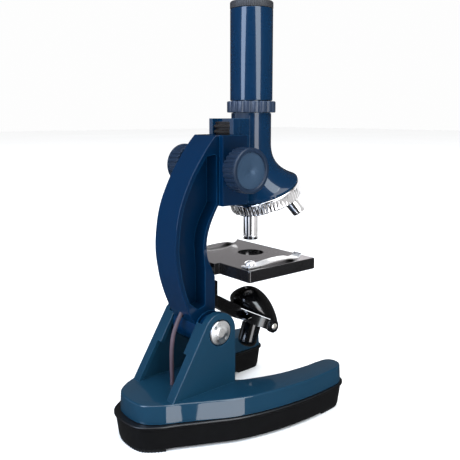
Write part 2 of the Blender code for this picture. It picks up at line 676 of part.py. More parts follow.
def build_tube(blue):
    tube = loft("body_tube", flare())
    join(tube, cylinder("tube_neck", 10.2, (0, 0, TUBE_TOP - 1), (0, 0, RING_Z[1] - 0.4), 40),
         box("slide_bar", (-SLIDE_HALF, SLIDE_BACK, SLIDE_Z[0]), (SLIDE_HALF, SLIDE_STEP, SLIDE_Z[1])),
         box("slide_neck", (-NECK_HALF, SLIDE_STEP - 1, SLIDE_Z[0]), (NECK_HALF, -6.0, SLIDE_Z[1])))
    cut(tube, box("rack_groove", (-7.2, SLIDE_BACK - 1, 100), (7.2, -17.6, 170)),
        cylinder("tube_bore", TUBE_BORE, (0, 0, 128), (0, 0, 190), 40),
        cylinder("light_bore", 4.2, (0, 0, 100), (0, 0, 140), 24))
    screw_start = TURRET_CENTRE - DOWN * 7.0
    cut(tube, cylinder("turret_tap", 1.6, screw_start, TURRET_CENTRE + DOWN * 3, 14))
    for z in RACK_SCREW_Z:
        cut(tube, cylinder(f"rack_tap_{z:.0f}", 1.3, (0, -19, z), (0, -13.6, z), 12))
    finish(blue, tube)
    return [tube]


def build_rack(dark, steel):
    """Rack screwed into the slide bar's groove; its teeth face the pinion."""
    low, high = RACK_Z
    outline = [(-17.9, low), (-17.9, high), (RACK_ROOT, high)]
    count = int((high - low) / TOOTH_PITCH)
    first = PINION_AXIS[1] + TOOTH_PITCH / 2
    while first + TOOTH_PITCH < high - 0.5:
        first += TOOTH_PITCH
    for i in range(count):
        z = first - i * TOOTH_PITCH
        if z - 0.8 > low:
            outline += [(RACK_ROOT, z + 0.8), (RACK_TIP, z + 0.45), (RACK_TIP, z - 0.45),
                        (RACK_ROOT, z - 0.8)]
    outline.append((RACK_ROOT, low))
    rack = prism("rack", outline, -6.9, 6.9, "X")
    screws = []
    for name, z in zip(("rack_screw_low", "rack_screw_high"), RACK_SCREW_Z):
        cut(rack, cylinder(f"{name}_hole", 1.3, (0, -25, z), (0, -15, z), 12),
            cylinder(f"{name}_sink", 2.3, (0, -25, z), (0, -19.0, z), 14))
        profile = [(0, 0), (0.9, -0.3), (0.9, -5.15), (1.9, -5.15), (1.9, -6.0), (0, -6.0)]
        screws.append(turned(name, profile, (0, -14.1, z), (0, 1, 0), steps=12))
    finish(dark, rack)
    finish(steel, *screws)
    return [rack, *screws]


def objective_axis(turn):
    """Seat and direction of the objective that stands at this angle round the turret."""
    a = math.radians(turn)
    radial = INWARD * math.cos(a) + Vector((1, 0, 0)) * math.sin(a)
    seat = TURRET_CENTRE + radial * SEAT_RADIUS
    direction = DOWN * math.cos(TURRET_TILT) + radial * math.sin(TURRET_TILT)
    return seat, direction


# name, place round the turret, length from the seat to the tip, radius
OBJECTIVES = [("long", 0, SEAT_Z - OBJECTIVE_TIP, 4.4), ("short", 120, 18.6, 4.1),
              ("middle", 240, 21.0, 4.25)]
BODY_START = 9.5               # along an objective's axis from its seat to the shoulder of its body


def build_turret(chrome, steel, glass):
    profile = [(0, 0), (TURRET_RADIUS - 0.8, 0), (TURRET_RADIUS, -1.0), (TURRET_RADIUS, -6.2),
               (TURRET_RADIUS - 0.8, -7.0), (17.2, -8.0), (12.0, -9.8), (5.0, -10.6), (0, -10.6)]
    disc = turned("nosepiece", profile, TURRET_CENTRE, -DOWN, steps=36)
    cut(disc, cylinder("turret_hole", 1.8 + GAP, TURRET_CENTRE - DOWN * 3, TURRET_CENTRE + DOWN * 14, 16))
    cut(disc, cylinder("turret_sink", 3.2 + GAP, TURRET_CENTRE + DOWN * 8.4, TURRET_CENTRE + DOWN * 14, 20))
    pieces = []
    for name, turn, length, radius in OBJECTIVES:
        seat, way = objective_axis(turn)
        cut(disc, cylinder(f"seat_{name}", 3.8, seat - way * 6, seat + way * 14, 24),
            cylinder(f"face_{name}", 5.2, seat + way * (BODY_START - GAP), seat + way * 24, 28))
        pieces += objective(name, seat, way, length, radius)
    profile = [(0, 6.2), (1.3, 5.8), (1.3, 0.0), (1.8, 0.0), (1.8, -8.7), (3.2, -8.7), (3.2, -10.2),
               (0, -10.6)]
    screw = turned("nosepiece_screw", profile, TURRET_CENTRE, -DOWN, steps=16)
    finish(chrome, disc, *pieces[0::2])
    finish(glass, *pieces[1::2])
    finish(steel, screw)
    return [disc, *pieces], [screw]


def objective(name, seat, way, length, radius):
    """Objective barrel with its thread in the nosepiece, and the front lens in its tip."""
    outer = [(3.4, 1.6), (3.4, BODY_START), (radius, BODY_START + 0.5), (radius, length - 0.5),
             (radius - 0.5, length), (2.3, length)]
    inner = [(2.3, length - 1.7), (1.7, length - 1.7), (1.7, 4.0), (2.4, 1.6)]
    shape = [(r, -t) for r, t in outer + inner]
    barrel = turned(f"objective_{name}", shape, seat, -way, steps=20, hollow=True)
    lens = turned(f"objective_{name}_lens", [(0, 1.0), (2.0, 0.9), (2.0, 0.1), (0, 0)],
                  seat + way * (length - 0.4), -way, steps=14)
    return [barrel, lens]


# ---------------------------------------------------------------- upper tube
def build_upper(blue, grey, cap_grey, glass):
    flutes = []
    count = 18
    for i in range(count):
        for radius, angle in ((RING_RADIUS - 0.7, -0.5), (RING_RADIUS, -0.3), (RING_RADIUS, 0.3)):
            a = math.tau * (i + angle) / count
            flutes.append((radius * math.cos(a), radius * math.sin(a)))
    ring = prism("lock_ring", flutes, RING_Z[0], RING_Z[1])
    cut(ring, cylinder("lock_ring_bore", 10.5, (0, 0, 150), (0, 0, 180), 40))
    finish(grey, ring)
    shank = TUBE_BORE - 0.4
    start = RING_Z[1] + GAP
    profile = [(DRAW_RADIUS - 0.4, DRAW_TOP), (DRAW_RADIUS, DRAW_TOP - 0.4), (DRAW_RADIUS, start + 0.3),
               (DRAW_RADIUS - 0.3, start), (shank, start), (shank, 132.0), (7.6, 132.0), (7.6, 190.0),
               (9.6, 192.0), (9.6, DRAW_TOP)]
    draw = turned("draw_tube", profile, (0, 0, 0), steps=36, hollow=True)
    finish(blue, draw)
    low = DRAW_TOP + GAP
    barrel = [(5.2, CAP_TOP), (11.0, CAP_TOP), (11.5, CAP_TOP - 0.5), (11.5, low + 0.2), (11.3, low),
              (9.2, low), (9.2, 195.0), (7.9, 195.0), (7.9, CAP_TOP - 2.6), (5.2, CAP_TOP - 1.4)]
    eyepiece = turned("eyepiece", barrel, (0, 0, 0), steps=36, hollow=True)
    finish(cap_grey, eyepiece)
    eye_lens = turned("eye_lens", [(0, 1.4), (4.0, 1.1), (7.5, 0), (7.5, -1.0), (0, -1.6)],
                      (0, 0, CAP_TOP - 4.6), steps=20)
    field_lens = turned("field_lens", [(0, 1.6), (4.5, 1.2), (7.5, 0), (7.5, -1.0), (0, -1.0)],
                        (0, 0, 198.0), steps=20)
    finish(glass, eye_lens, field_lens)
    return ring, draw, [eyepiece, eye_lens, field_lens]


# ---------------------------------------------------------------- lamp
UP = Vector((0, math.sin(LAMP_TILT), math.cos(LAMP_TILT)))         # the drum's axis
BACK = Vector((0, -math.cos(LAMP_TILT), math.sin(LAMP_TILT)))      # across it, towards the arm
LAMP_CENTRE = Vector((0, *LAMP_AXIS))
HALF_RING = (14.6, 16.2)
BAND_HALF = 2.8
SOCKET_WAY = Vector((0, -0.34, -0.94)).normalized()


def lamp_ring_points(radius, start, end, steps):
    points = []
    for i in range(steps + 1):
        a = math.radians(start + (end - start) * i / steps)
        points.append(LAMP_CENTRE + Vector((1, 0, 0)) * radius * math.sin(a) + BACK * radius * math.cos(a))
    return points


def build_bracket(black, steel):
    """Bracket on the arm's front: a plate, a tongue and a half ring that carries the lamp's pins."""
    low, high = -BAND_HALF, BAND_HALF
    inner = lamp_ring_points(HALF_RING[0] - 0.4, -94, 94, 22)
    outer = lamp_ring_points(HALF_RING[1], 94, -94, 22)
    outline = inner + outer
    bracket = loft("lamp_bracket", [[p + UP * high for p in outline], [p + UP * low for p in outline]])
    join(bracket, box("bracket_plate", (-6.5, ARM_FRONT + GAP, 61.5), (6.5, -28.6, 75.0)))
    tongue = [(-30.0, 62.0), (-30.0, 67.5), (-26.0, 66.0), (-10.4, 56.8), (-13.0, 50.4), (-24.0, 57.4)]
    join(bracket, prism("bracket_tongue", tongue, -4.5, 4.5, "X"))
    for side in (1, -1):
        start = LAMP_CENTRE + Vector((14.8 * side, 0, 0))
        join(bracket, cylinder(f"lug_{side}", 3.5, start, start + Vector((2.4 * side, 0, 0)), 20))
        cut(bracket, cylinder(f"lug_hole_{side}", 1.3, LAMP_CENTRE + Vector((10 * side, 0, 0)),
                              LAMP_CENTRE + Vector((22 * side, 0, 0)), 14))
    window = [lamp_ring_points(12.0, 12, 42, 6) + lamp_ring_points(19.0, 42, 12, 6),
              lamp_ring_points(12.0, -42, -12, 6) + lamp_ring_points(19.0, -12, -42, 6)]
    for i, points in enumerate(window):
        cut(bracket, loft(f"window_{i}", [[p + UP * 1.9 for p in points], [p - UP * 1.9 for p in points]]))
    cut(bracket, cylinder("bracket_tap", 1.5, (0, -36, 70.0), (0, -20, 70.0), 12),
        cylinder("bracket_sink", 2.7, (0, -29.9, 70.0), (0, -20, 70.0), 16),
        cylinder("drum_clearance", HALF_RING[0], LAMP_CENTRE - UP * 8, LAMP_CENTRE + UP * 12, 48))
    finish(black, bracket)
    profile = [(0, 1.3), (1.6, 1.2), (2.4, 0.8), (2.4, 0), (1.15, 0), (1.15, -3.4), (0, -3.6)]
    screw = turned("bracket_screw", profile, (0, -29.6, 70.0), (0, 1, 0), steps=14)
    finish(steel, screw)
    return [bracket, screw]


def build_lamp(black, blue_glass, glass, steel, brass):
    """Drum with its dome above, the socket with its bulb below, and the blue filter between them."""
    wall = 1.2
    drum = turned("lamp_drum", [(DRUM_RADIUS, 2.5), (DRUM_RADIUS, -2.8), (5.8, -2.8), (5.8, -1.6),
                                (DRUM_RADIUS - wall, -1.6), (DRUM_RADIUS - wall, 2.5)],
                  LAMP_CENTRE, UP, steps=30, hollow=True)
    for side in (1, -1):
        cut(drum, cylinder(f"drum_hole_{side}", 1.3, LAMP_CENTRE + Vector((10 * side, 0, 0)),
                           LAMP_CENTRE + Vector((22 * side, 0, 0)), 14))
    dome = lamp_dome()
    socket = turned("lamp_socket", [(0, 0), (5.4, 0), (5.4, -12.0), (4.8, -14.2), (3.0, -15.4),
                                    (0, -15.8)], LAMP_CENTRE, -SOCKET_WAY, steps=26)
    cut(socket, cylinder("socket_bore", 3.6, LAMP_CENTRE - SOCKET_WAY * 2,
                         LAMP_CENTRE + SOCKET_WAY * 14.4, 24),
        cylinder("socket_trim", 12, LAMP_CENTRE - UP * (BAND_HALF + GAP), LAMP_CENTRE + UP * 9, 24))
    finish(black, drum, dome, socket)
    bulb = turned("bulb", [(0, 1.2), (1.5, 0.9), (2.6, -0.6), (2.9, -2.2), (2.4, -4.4), (2.4, -12.0),
                           (1.0, -13.6), (0, -13.8)], LAMP_CENTRE, -SOCKET_WAY, steps=20)
    finish(glass, bulb)
    filter_disc = turned("blue_filter", [(0, 2.0), (12.2, 2.0), (12.6, 1.6), (12.6, 0.4), (12.2, 0),
                                         (4.0, 0), (0, 1.3)], LAMP_CENTRE + UP * 0.3, UP, steps=28)
    finish(blue_glass, filter_disc)
    pins = []
    for side, name in ((1, "lamp_pin_right"), (-1, "lamp_pin_left")):
        profile = [(0, 0.6), (1.3, 0.5), (1.8, 0.2), (1.8, 0), (1.0, 0), (1.0, -4.7), (0, -4.9)]
        pins.append(turned(name, profile, LAMP_CENTRE + Vector((17.5 * side, 0, 0)), (side, 0, 0), steps=14))
    finish(brass, *pins)
    return [drum, dome, socket, bulb, filter_disc], pins


def lamp_dome():
    """Oblique hood: rings shrink from the drum's tilted rim to a level aperture over the bulb."""
    count, levels = 28, 5
    start = LAMP_CENTRE + UP * (BAND_HALF + GAP)
    apex = LAMP_CENTRE + Vector((0, -4.4, 18.6))
    wall = 1.3

    def ring(level, inset):
        t = level / levels
        rise = math.sin(t * math.radians(74))
        radius = (DRUM_RADIUS - 0.4) * math.cos(t * math.radians(74)) - inset
        centre = start.lerp(apex, rise / math.sin(math.radians(74)))
        tip = UP.lerp(Vector((0, -0.1, 1)), t).normalized()
        across = Vector((1, 0, 0)).cross(tip)
        return [centre - tip * inset * t + Vector((1, 0, 0)) * radius * math.sin(math.tau * i / count)
                - across * radius * math.cos(math.tau * i / count) for i in range(count)]
    outer = [ring(k, 0) for k in range(levels + 1)]
    inner = [ring(k, wall) for k in range(levels, -1, -1)]
    rings = outer + inner
    bm = bmesh.new()
    rows = [[bm.verts.new(p * MM) for p in points] for points in rings]
    for upper, lower in zip(rows, rows[1:] + rows[:1]):
        for i in range(count):
            k = (i + 1) % count
            bm.faces.new((upper[i], upper[k], lower[k], lower[i]))
    return mesh_object("lamp_dome", bm)


# ---------------------------------------------------------------- assembly
def empty(name, place, parent=None):
    marker = bpy.data.objects.new(name, None)
    bpy.data.collections["microscope"].objects.link(marker)
    marker.location = Vector(place) * MM
    marker.parent = parent
    marker.empty_display_size = 0.01
    return marker


def attach(objects, axis):
    """Parent the pieces to the empty that stands on their joint's axis, keeping their places."""
    for obj in objects:
        obj.parent = axis
        if axis.parent:
            obj.location = obj.location - axis.location


def main():
    clear_scene()
    arm_blue = material("arm blue enamel", (0.004, 0.045, 0.13), 0.3)
    body_blue = material("body blue enamel", (0.006, 0.035, 0.075), 0.2)
    knob_blue = material("knob plastic", (0.02, 0.045, 0.09), 0.45)
    black = material("black plastic", (0.015, 0.015, 0.017), 0.4)
    satin = material("stage enamel", (0.02, 0.02, 0.022), 0.35)
    rubber = material("rubber", (0.02, 0.02, 0.02), 0.8)
    lead = material("lead sleeve", (0.14, 0.1, 0.13), 0.5)
    steel = material("zinc steel", (0.6, 0.6, 0.6), 0.35, 1.0)
    chrome = material("chrome", (0.8, 0.8, 0.8), 0.1, 1.0)
    brass = material("brass", (0.7, 0.5, 0.2), 0.3, 1.0)
    glass = material("glass", (0.9, 0.95, 1.0), 0.02, 0.0, 1.0)
    blue_glass = material("blue filter", (0.02, 0.05, 0.6), 0.05, 0.0, 0.8)
    grey = material("dark grey plastic", (0.09, 0.09, 0.1), 0.45)
    cell = material("battery sleeve", (0.25, 0.25, 0.27), 0.35, 0.6)

    optical = empty("optical_axis", (0, OPTICAL_Y, 0))
    hinge = empty("hinge_axis", (0, *PIVOT), optical)
    pinion_axis = empty("pinion_axis", (0, *PINION_AXIS), optical)
    slide = empty("slide_axis", (0, SLIDE_BACK, PINION_AXIS[1]), optical)
    draw_axis = empty("draw_axis", (0, 0, RING_Z[1]), optical)
    turret_axis = empty("turret_axis", TURRET_CENTRE, optical)
    lamp_axis = empty("lamp_axis", LAMP_CENTRE, optical)

    attach(build_base(body_blue) + build_plinth(black, rubber, steel) + build_batteries(cell, steel)
           + build_lead(lead) + build_hinge(steel, black), optical)
    attach(build_arm(arm_blue) + build_bracket(black, steel), hinge)
    attach(build_stage(satin, steel, chrome), hinge)
    attach(build_focus(knob_blue, steel), pinion_axis)
    attach(build_tube(body_blue) + build_rack(black, steel), slide)
    disc, screw = build_turret(chrome, steel, glass)
    attach(disc, turret_axis)
    attach(screw, slide)
    ring, draw, eyepiece = build_upper(body_blue, grey, grey, glass)
    attach([ring, draw, *eyepiece], draw_axis)
    lamp, pins = build_lamp(black, blue_glass, glass, steel, brass)
    attach(lamp, lamp_axis)
    attach(pins, hinge)
    # cutters and guides stand in the same frame as the pieces they shape
    for tool in bpy.data.collections["cutters"].objects:
        tool.parent = optical
    bpy.context.view_layer.update()


main()
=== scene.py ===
import json
import math

import bmesh
import bpy
from mathutils import Matrix, Vector


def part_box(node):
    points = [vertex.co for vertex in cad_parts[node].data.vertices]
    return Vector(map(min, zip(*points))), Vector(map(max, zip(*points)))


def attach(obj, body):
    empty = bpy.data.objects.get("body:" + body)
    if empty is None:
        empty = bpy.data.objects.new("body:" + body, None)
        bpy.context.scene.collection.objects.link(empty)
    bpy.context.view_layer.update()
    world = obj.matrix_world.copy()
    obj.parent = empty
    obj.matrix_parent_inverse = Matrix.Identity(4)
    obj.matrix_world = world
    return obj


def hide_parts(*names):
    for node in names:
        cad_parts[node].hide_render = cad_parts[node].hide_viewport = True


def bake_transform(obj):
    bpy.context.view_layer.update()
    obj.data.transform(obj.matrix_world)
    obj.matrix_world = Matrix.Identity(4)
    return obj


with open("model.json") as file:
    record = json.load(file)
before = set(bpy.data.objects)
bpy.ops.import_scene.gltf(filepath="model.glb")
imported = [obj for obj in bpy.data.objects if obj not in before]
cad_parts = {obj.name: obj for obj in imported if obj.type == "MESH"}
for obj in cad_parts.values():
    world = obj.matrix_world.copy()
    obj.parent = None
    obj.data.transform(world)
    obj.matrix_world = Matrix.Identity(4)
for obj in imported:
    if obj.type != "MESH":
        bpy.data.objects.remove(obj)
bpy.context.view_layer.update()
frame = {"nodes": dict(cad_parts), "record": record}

MM = 0.001
draw_low, draw_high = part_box("draw_tube")
AXIS_Y = (draw_low.y + draw_high.y) / 2    # the optical axis in the row frame, metres
ALONG_X = Vector((1, 0, 0))
BODY_OF = {n: b for b, ns in frame["record"]["behaviour"]["bodies"].items() for n in ns}
SLOT_OF = {s["node"]: s["material_slot"] for s in frame["record"]["subparts"]}
TOOLS = []                             # boolean tools, removed once their pieces are baked


# ---------------------------------------------------------------- drawing, in mm from the optical axis
def arc(centre, radius, start, end, steps):
    """Points on a circle, from one angle to another in degrees."""
    angles = [math.radians(start + (end - start) * i / steps) for i in range(steps + 1)]
    return [(centre[0] + radius * math.cos(a), centre[1] + radius * math.sin(a)) for a in angles]


def smooth(points, steps, closed=False):
    """Catmull-Rom curve through the points."""
    pts = [Vector(p) for p in points]
    count = len(pts)
    result = []
    for i in range(count if closed else count - 1):
        p1, p2 = pts[i], pts[(i + 1) % count]
        p0 = pts[i - 1] if closed or i > 0 else p1 * 2 - p2
        p3 = pts[(i + 2) % count] if closed or i + 2 < count else p2 * 2 - p1
        for k in range(steps):
            t = k / steps
            result.append(tuple(0.5 * (2 * p1 + (p2 - p0) * t + (2 * p0 - 5 * p1 + 4 * p2 - p3) * t * t
                                       + (3 * p1 - p0 - 3 * p2 + p3) * t ** 3)))
    if not closed:
        result.append(tuple(pts[-1]))
    return result


def offset(points, distance):
    """Closed outline moved outwards, or inwards for a negative distance."""
    moved = []
    for i, point in enumerate(points):
        along = Vector(points[(i + 1) % len(points)]) - Vector(points[i - 1])
        moved.append(tuple(Vector(point) + Vector((along.y, -along.x)).normalized() * distance))
    return moved


SHALLOW_BEND = math.radians(20)


def fillet(points, radius, steps=4):
    """Closed outline with its corners rounded, apart from bends that are shallow already."""
    result = []
    for i, point in enumerate(points):
        b = Vector(point)
        back = Vector(points[i - 1]) - b
        ahead = Vector(points[(i + 1) % len(points)]) - b
        turn = (-back).angle(ahead)
        if turn < SHALLOW_BEND:
            result.append(tuple(b))
            continue
        reach = min(radius * math.tan(turn / 2), back.length * 0.45, ahead.length * 0.45)
        start, end = b + back.normalized() * reach, b + ahead.normalized() * reach
        for k in range(steps + 1):
            t = k / steps
            result.append(tuple(start * (1 - t) ** 2 + b * 2 * t * (1 - t) + end * t * t))
    return result


def link(name, mesh):
    """Object for the mesh, in the scene."""
    obj = bpy.data.objects.new(name, mesh)
    bpy.context.scene.collection.objects.link(obj)
    return obj


def mesh_object(name, bm):
    """Object for the bmesh, with its faces pointing out."""
    mesh = bpy.data.meshes.new(name)
    bmesh.ops.recalc_face_normals(bm, faces=bm.faces)
    bm.to_mesh(mesh)
    bm.free()
    return link(name, mesh)


def loft(name, rings, closed=False):
    """Skin over closed rings of equal length, capped at both ends or closed on itself."""
    bm = bmesh.new()
    rows = [[bm.verts.new(Vector(p) * MM) for p in ring] for ring in rings]
    for upper, lower in zip(rows, rows[1:] + (rows[:1] if closed else [])):
        for i in range(len(upper)):
            k = (i + 1) % len(upper)
            bm.faces.new((upper[i], upper[k], lower[k], lower[i]))
    if not closed:
        bm.faces.new(rows[0])
        bm.faces.new(rows[-1])
    return mesh_object(name, bm)


WELD = 0.005 * MM                      # points nearer than this are the same point


def turned(name, profile, base, axis=(0, 0, 1), steps=64, hollow=False, radius_at=None):
    """Solid of revolution from (radius, height) pairs; radius_at(angle, radius, height) may flute it."""
    quat = Vector(axis).to_track_quat("Z", "Y")
    rings = []
    for r, z in profile:
        ring = []
        for i in range(steps):
            a = math.tau * i / steps
            rr = radius_at(a, r, z) if radius_at else r
            ring.append(Vector(base) + quat @ Vector((rr * math.cos(a), rr * math.sin(a), z)))
        rings.append(ring)
    obj = loft(name, rings, closed=hollow)
    weld(obj, WELD)
    return obj


def weld(obj, distance):
    """Merge points that coincide, such as the poles of a turned solid."""
    bm = bmesh.new()
    bm.from_mesh(obj.data)
    bmesh.ops.remove_doubles(bm, verts=bm.verts, dist=distance)
    bmesh.ops.dissolve_degenerate(bm, edges=bm.edges, dist=distance * 0.5)
    bmesh.ops.recalc_face_normals(bm, faces=bm.faces)
    bm.to_mesh(obj.data)
    bm.free()


def cylinder(name, radius, start, end, segments):
    """Solid cylinder between two points."""
    way = Vector(end) - Vector(start)
    return turned(name, [(radius, 0), (radius, way.length)], start, way, segments)


def prism(name, points, low, high, axis="Z", edge=0.0):
    """Outline given thickness along X or Z, its two rims rounded by the edge radius."""
    if sum(a[0] * b[1] - b[0] * a[1] for a, b in zip(points, points[1:] + points[:1])) < 0:
        points = points[::-1]
    levels = [(low, 0), (high, 0)]
    if edge:
        turns = [math.radians(22.5 * k) for k in range(5)]
        levels = [(low + edge * (1 - math.sin(a)), edge * (1 - math.cos(a))) for a in turns[::-1]]
        levels += [(high - edge * (1 - math.sin(a)), edge * (1 - math.cos(a))) for a in turns]
    rings = []
    for level, inset in levels:
        ring = offset(points, -inset) if inset else points
        rings.append([(level, p[0], p[1]) if axis == "X" else (p[0], p[1], level) for p in ring])
    return loft(name, rings)


def box(name, low, high):
    """Block between two corners."""
    outline = [(low[0], low[1]), (high[0], low[1]), (high[0], high[1]), (low[0], high[1])]
    return prism(name, outline, low[2], high[2])


def boolean(target, operation, tools):
    """Queue boolean modifiers; show() bakes them."""
    for tool in tools:
        TOOLS.append(tool)
        modifier = target.modifiers.new(operation.lower(), "BOOLEAN")
        modifier.operation = operation
        modifier.object = tool
    return target


def cut(target, *tools):
    return boolean(target, "DIFFERENCE", tools)


def join(target, *tools):
    return boolean(target, "UNION", tools)


def show(obj, node, material, edge=0.0, angle=40, sharp=50):
    """Bake the piece, put it in the row frame and let it stand for its CAD node.

    edge is the width of a live bevel on creases over angle; without one, creases over sharp stay hard.
    """
    bpy.context.view_layer.update()
    mesh = bpy.data.meshes.new_from_object(obj.evaluated_get(bpy.context.evaluated_depsgraph_get()))
    mesh.transform(Matrix.Translation((0, AXIS_Y, 0)) @ obj.matrix_world)
    name = obj.name
    bpy.data.objects.remove(obj)
    piece = link(name, mesh)
    while TOOLS:
        bpy.data.objects.remove(TOOLS.pop())
    mesh.materials.clear()
    mesh.materials.append(material)
    mesh.shade_smooth()
    if edge:
        bevel = piece.modifiers.new("edge", "BEVEL")
        bevel.width = edge * MM
        bevel.segments = 3
        bevel.limit_method = "ANGLE"
        bevel.angle_limit = math.radians(angle)
        bevel.harden_normals = False
        piece.modifiers.new("normals", "WEIGHTED_NORMAL").keep_sharp = True
    else:
        mesh.set_sharp_from_angle(angle=math.radians(sharp))
    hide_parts(node)
    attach(piece, BODY_OF[node])
    return piece


# ---------------------------------------------------------------- materials
def linear(r, g, b):
    """Linear colour from 8-bit sRGB."""
    return tuple((c / 255 / 12.92) if c <= 10 else ((c / 255 + 0.055) / 1.055) ** 2.4 for c in (r, g, b))


PAINT = 0.45                           # paint colours are given as they look under the studio's light
# width of the rounding that finds the edges where a highlight is painted
EDGE_HIGHLIGHT_WIDTH = 0.5 * MM
GRAIN_DEPTH = 0.2 * MM
POLISH_DEPTH = 0.1 * MM
LATHE_DEPTH = 0.06 * MM


class Nodes:
    """A node tree, with one short call for each kind of node used."""

    def __init__(self, name):
        self.material = bpy.data.materials.new(name)
        self.material.use_nodes = True
        self.tree = self.material.node_tree
        self.shader = self.tree.nodes["Principled BSDF"]
        self.place = self.new("ShaderNodeTexCoord").outputs["Object"]

    def new(self, kind, **settings):
        node = self.tree.nodes.new(kind)
        for key, value in settings.items():
            setattr(node, key, value)
        return node

    def put(self, value, socket):
        if isinstance(value, bpy.types.NodeSocket):
            self.tree.links.new(value, socket)
        else:
            socket.default_value = value

    def noise(self, scale, detail=3.0):
        node = self.new("ShaderNodeTexNoise")
        self.put(self.place, node.inputs["Vector"])
        node.inputs["Scale"].default_value = scale
        node.inputs["Detail"].default_value = detail
        return node.outputs["Fac"]

    def spread(self, value, low, high, start=0.3, end=0.7):
        node = self.new("ShaderNodeMapRange")
        for key, number in (("From Min", start), ("From Max", end), ("To Min", low), ("To Max", high)):
            node.inputs[key].default_value = number
        self.put(value, node.inputs["Value"])
        return node.outputs["Result"]

    def mix(self, share, first, second):
        node = self.new("ShaderNodeMix", data_type="RGBA")
        self.put(share, node.inputs[0])
        self.put(first if isinstance(first, bpy.types.NodeSocket) else (*first, 1), node.inputs[6])
        self.put(second if isinstance(second, bpy.types.NodeSocket) else (*second, 1), node.inputs[7])
        return node.outputs[2]

    def math(self, operation, a, b=0.0):
        node = self.new("ShaderNodeMath", operation=operation)
        self.put(a, node.inputs[0])
        self.put(b, node.inputs[1])
        return node.outputs[0]

    def bump(self, height, strength, distance):
        node = self.new("ShaderNodeBump")
        node.inputs["Strength"].default_value = strength
        node.inputs["Distance"].default_value = distance
        self.put(height, node.inputs["Height"])
        return node.outputs["Normal"]

    def edge_turn(self):
        """Cosine between the face's own normal and the normal that a small bevel would give it."""
        rounded_off = self.new("ShaderNodeBevel", samples=6)
        rounded_off.inputs["Radius"].default_value = EDGE_HIGHLIGHT_WIDTH
        turn = self.new("ShaderNodeVectorMath", operation="DOT_PRODUCT")
        self.put(rounded_off.outputs["Normal"], turn.inputs[0])
        self.put(self.new("ShaderNodeNewGeometry").outputs["Normal"], turn.inputs[1])
        return turn.outputs["Value"]

    def set(self, **values):
        for key, value in values.items():
            self.put(value, self.shader.inputs[key.replace("_", " ")])


def surface(name, colour, rough, vary, grain, grain_scale, patch, edge=None, **settings):
    """Painted or moulded surface: soft colour drift, uneven gloss, fine relief and paler edges, a painted
    highlight along them.
    """
    n = Nodes(name)
    dark = tuple(c * PAINT * (1 - vary) for c in colour)
    pale = tuple(c * PAINT * (1 + vary) for c in colour)
    shade = n.mix(n.spread(n.noise(patch), 0, 1), dark, pale)
    # the edge colour is a painted highlight, mixed in along the creases
    if edge:
        edge_highlight, uneven = n.spread(n.edge_turn(), 0.6, 0, 0.8, 0.99), n.spread(n.noise(260), 0.5, 1)
        painted_edge_highlight = n.math("MULTIPLY", edge_highlight, uneven)
        shade = n.mix(painted_edge_highlight, shade, edge)
    n.put(shade, n.shader.inputs["Base Color"])
    n.put(n.spread(n.noise(patch * 3), rough * 0.93, rough * 1.08), n.shader.inputs["Roughness"])
    relief = n.bump(n.noise(grain_scale, 2), grain, GRAIN_DEPTH)
    n.put(relief, n.shader.inputs["Normal"])
    n.set(**settings)
    return n


def plated(name, colour, rough, grain, grain_scale=500):
    """Bare or plated metal with faint polishing marks and uneven gloss."""
    n = Nodes(name)
    tone = tuple(c * 0.86 for c in colour)
    n.put(n.mix(n.spread(n.noise(140, 4), 0, 1), tone, colour), n.shader.inputs["Base Color"])
    n.put(n.spread(n.noise(320, 4), rough * 0.7, rough * 1.5), n.shader.inputs["Roughness"])
    n.put(n.bump(n.noise(grain_scale, 3), grain, POLISH_DEPTH), n.shader.inputs["Normal"])
    n.set(Metallic=1.0)
    return n


def rings_about_x(n, pitch):
    """Concentric rings about an X axis through the piece's own middle, as lathe marks."""
    split = n.new("ShaderNodeSeparateXYZ")
    middle = n.new("ShaderNodeVectorMath", operation="SUBTRACT")
    n.put(n.place, middle.inputs[0])
    middle.inputs[1].default_value = KNOB_CENTRE
    n.put(middle.outputs[0], split.inputs[0])
    y, z = split.outputs["Y"], split.outputs["Z"]
    radius = n.math("SQRT", n.math("ADD", n.math("MULTIPLY", y, y), n.math("MULTIPLY", z, z)))
    return n.math("SINE", n.math("MULTIPLY", radius, math.tau / pitch))


knob_low, knob_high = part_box("focus_knob_right")
KNOB_CENTRE = (knob_low + knob_high) / 2

# the colour after the patch size is the painted highlight along each piece's edges
ARM_BLUE = surface("arm_enamel", linear(0, 50, 90), 0.32, 0.04, 0.004, 700, 50, linear(38, 104, 152),
                   Coat_Weight=0.7, Coat_Roughness=0.06, Specular_IOR_Level=0.12).material
BASE_BLUE = surface("base_enamel", linear(26, 70, 96), 0.3, 0.04, 0.003, 600, 45, linear(46, 92, 122),
                    Coat_Weight=1.0, Coat_Roughness=0.03, Specular_IOR_Level=0.12).material
TUBE_BLUE = surface("tube_enamel", linear(6, 52, 88), 0.28, 0.04, 0.0, 500, 45, linear(60, 92, 118),
                    Coat_Weight=1.0, Coat_Roughness=0.02, Specular_IOR_Level=0.12).material
KNOB_BLUE = surface("knob_plastic", linear(28, 52, 80), 0.38, 0.12, 0.08, 1500, 120,
                    linear(84, 106, 132)).material
RING_BLUE = surface("ring_plastic", linear(52, 70, 98), 0.36, 0.12, 0.05, 1500, 120,
                    linear(100, 116, 140), Coat_Weight=0.4, Coat_Roughness=0.15).material
BLACK = surface("plinth_plastic", linear(16, 16, 19), 0.42, 0.15, 0.06, 2200, 90, linear(62, 62, 66),
                Coat_Weight=0.6, Coat_Roughness=0.22).material
STAGE_BLACK = surface("stage_enamel", linear(34, 33, 34), 0.2, 0.1, 0.04, 2600, 60, linear(96, 96, 98),
                      Coat_Weight=1.0, Coat_Roughness=0.1).material
LAMP_BLACK = surface("lamp_plastic", linear(14, 14, 16), 0.2, 0.2, 0.03, 900, 90, linear(52, 52, 56),
                     Coat_Weight=0.8, Coat_Roughness=0.06).material
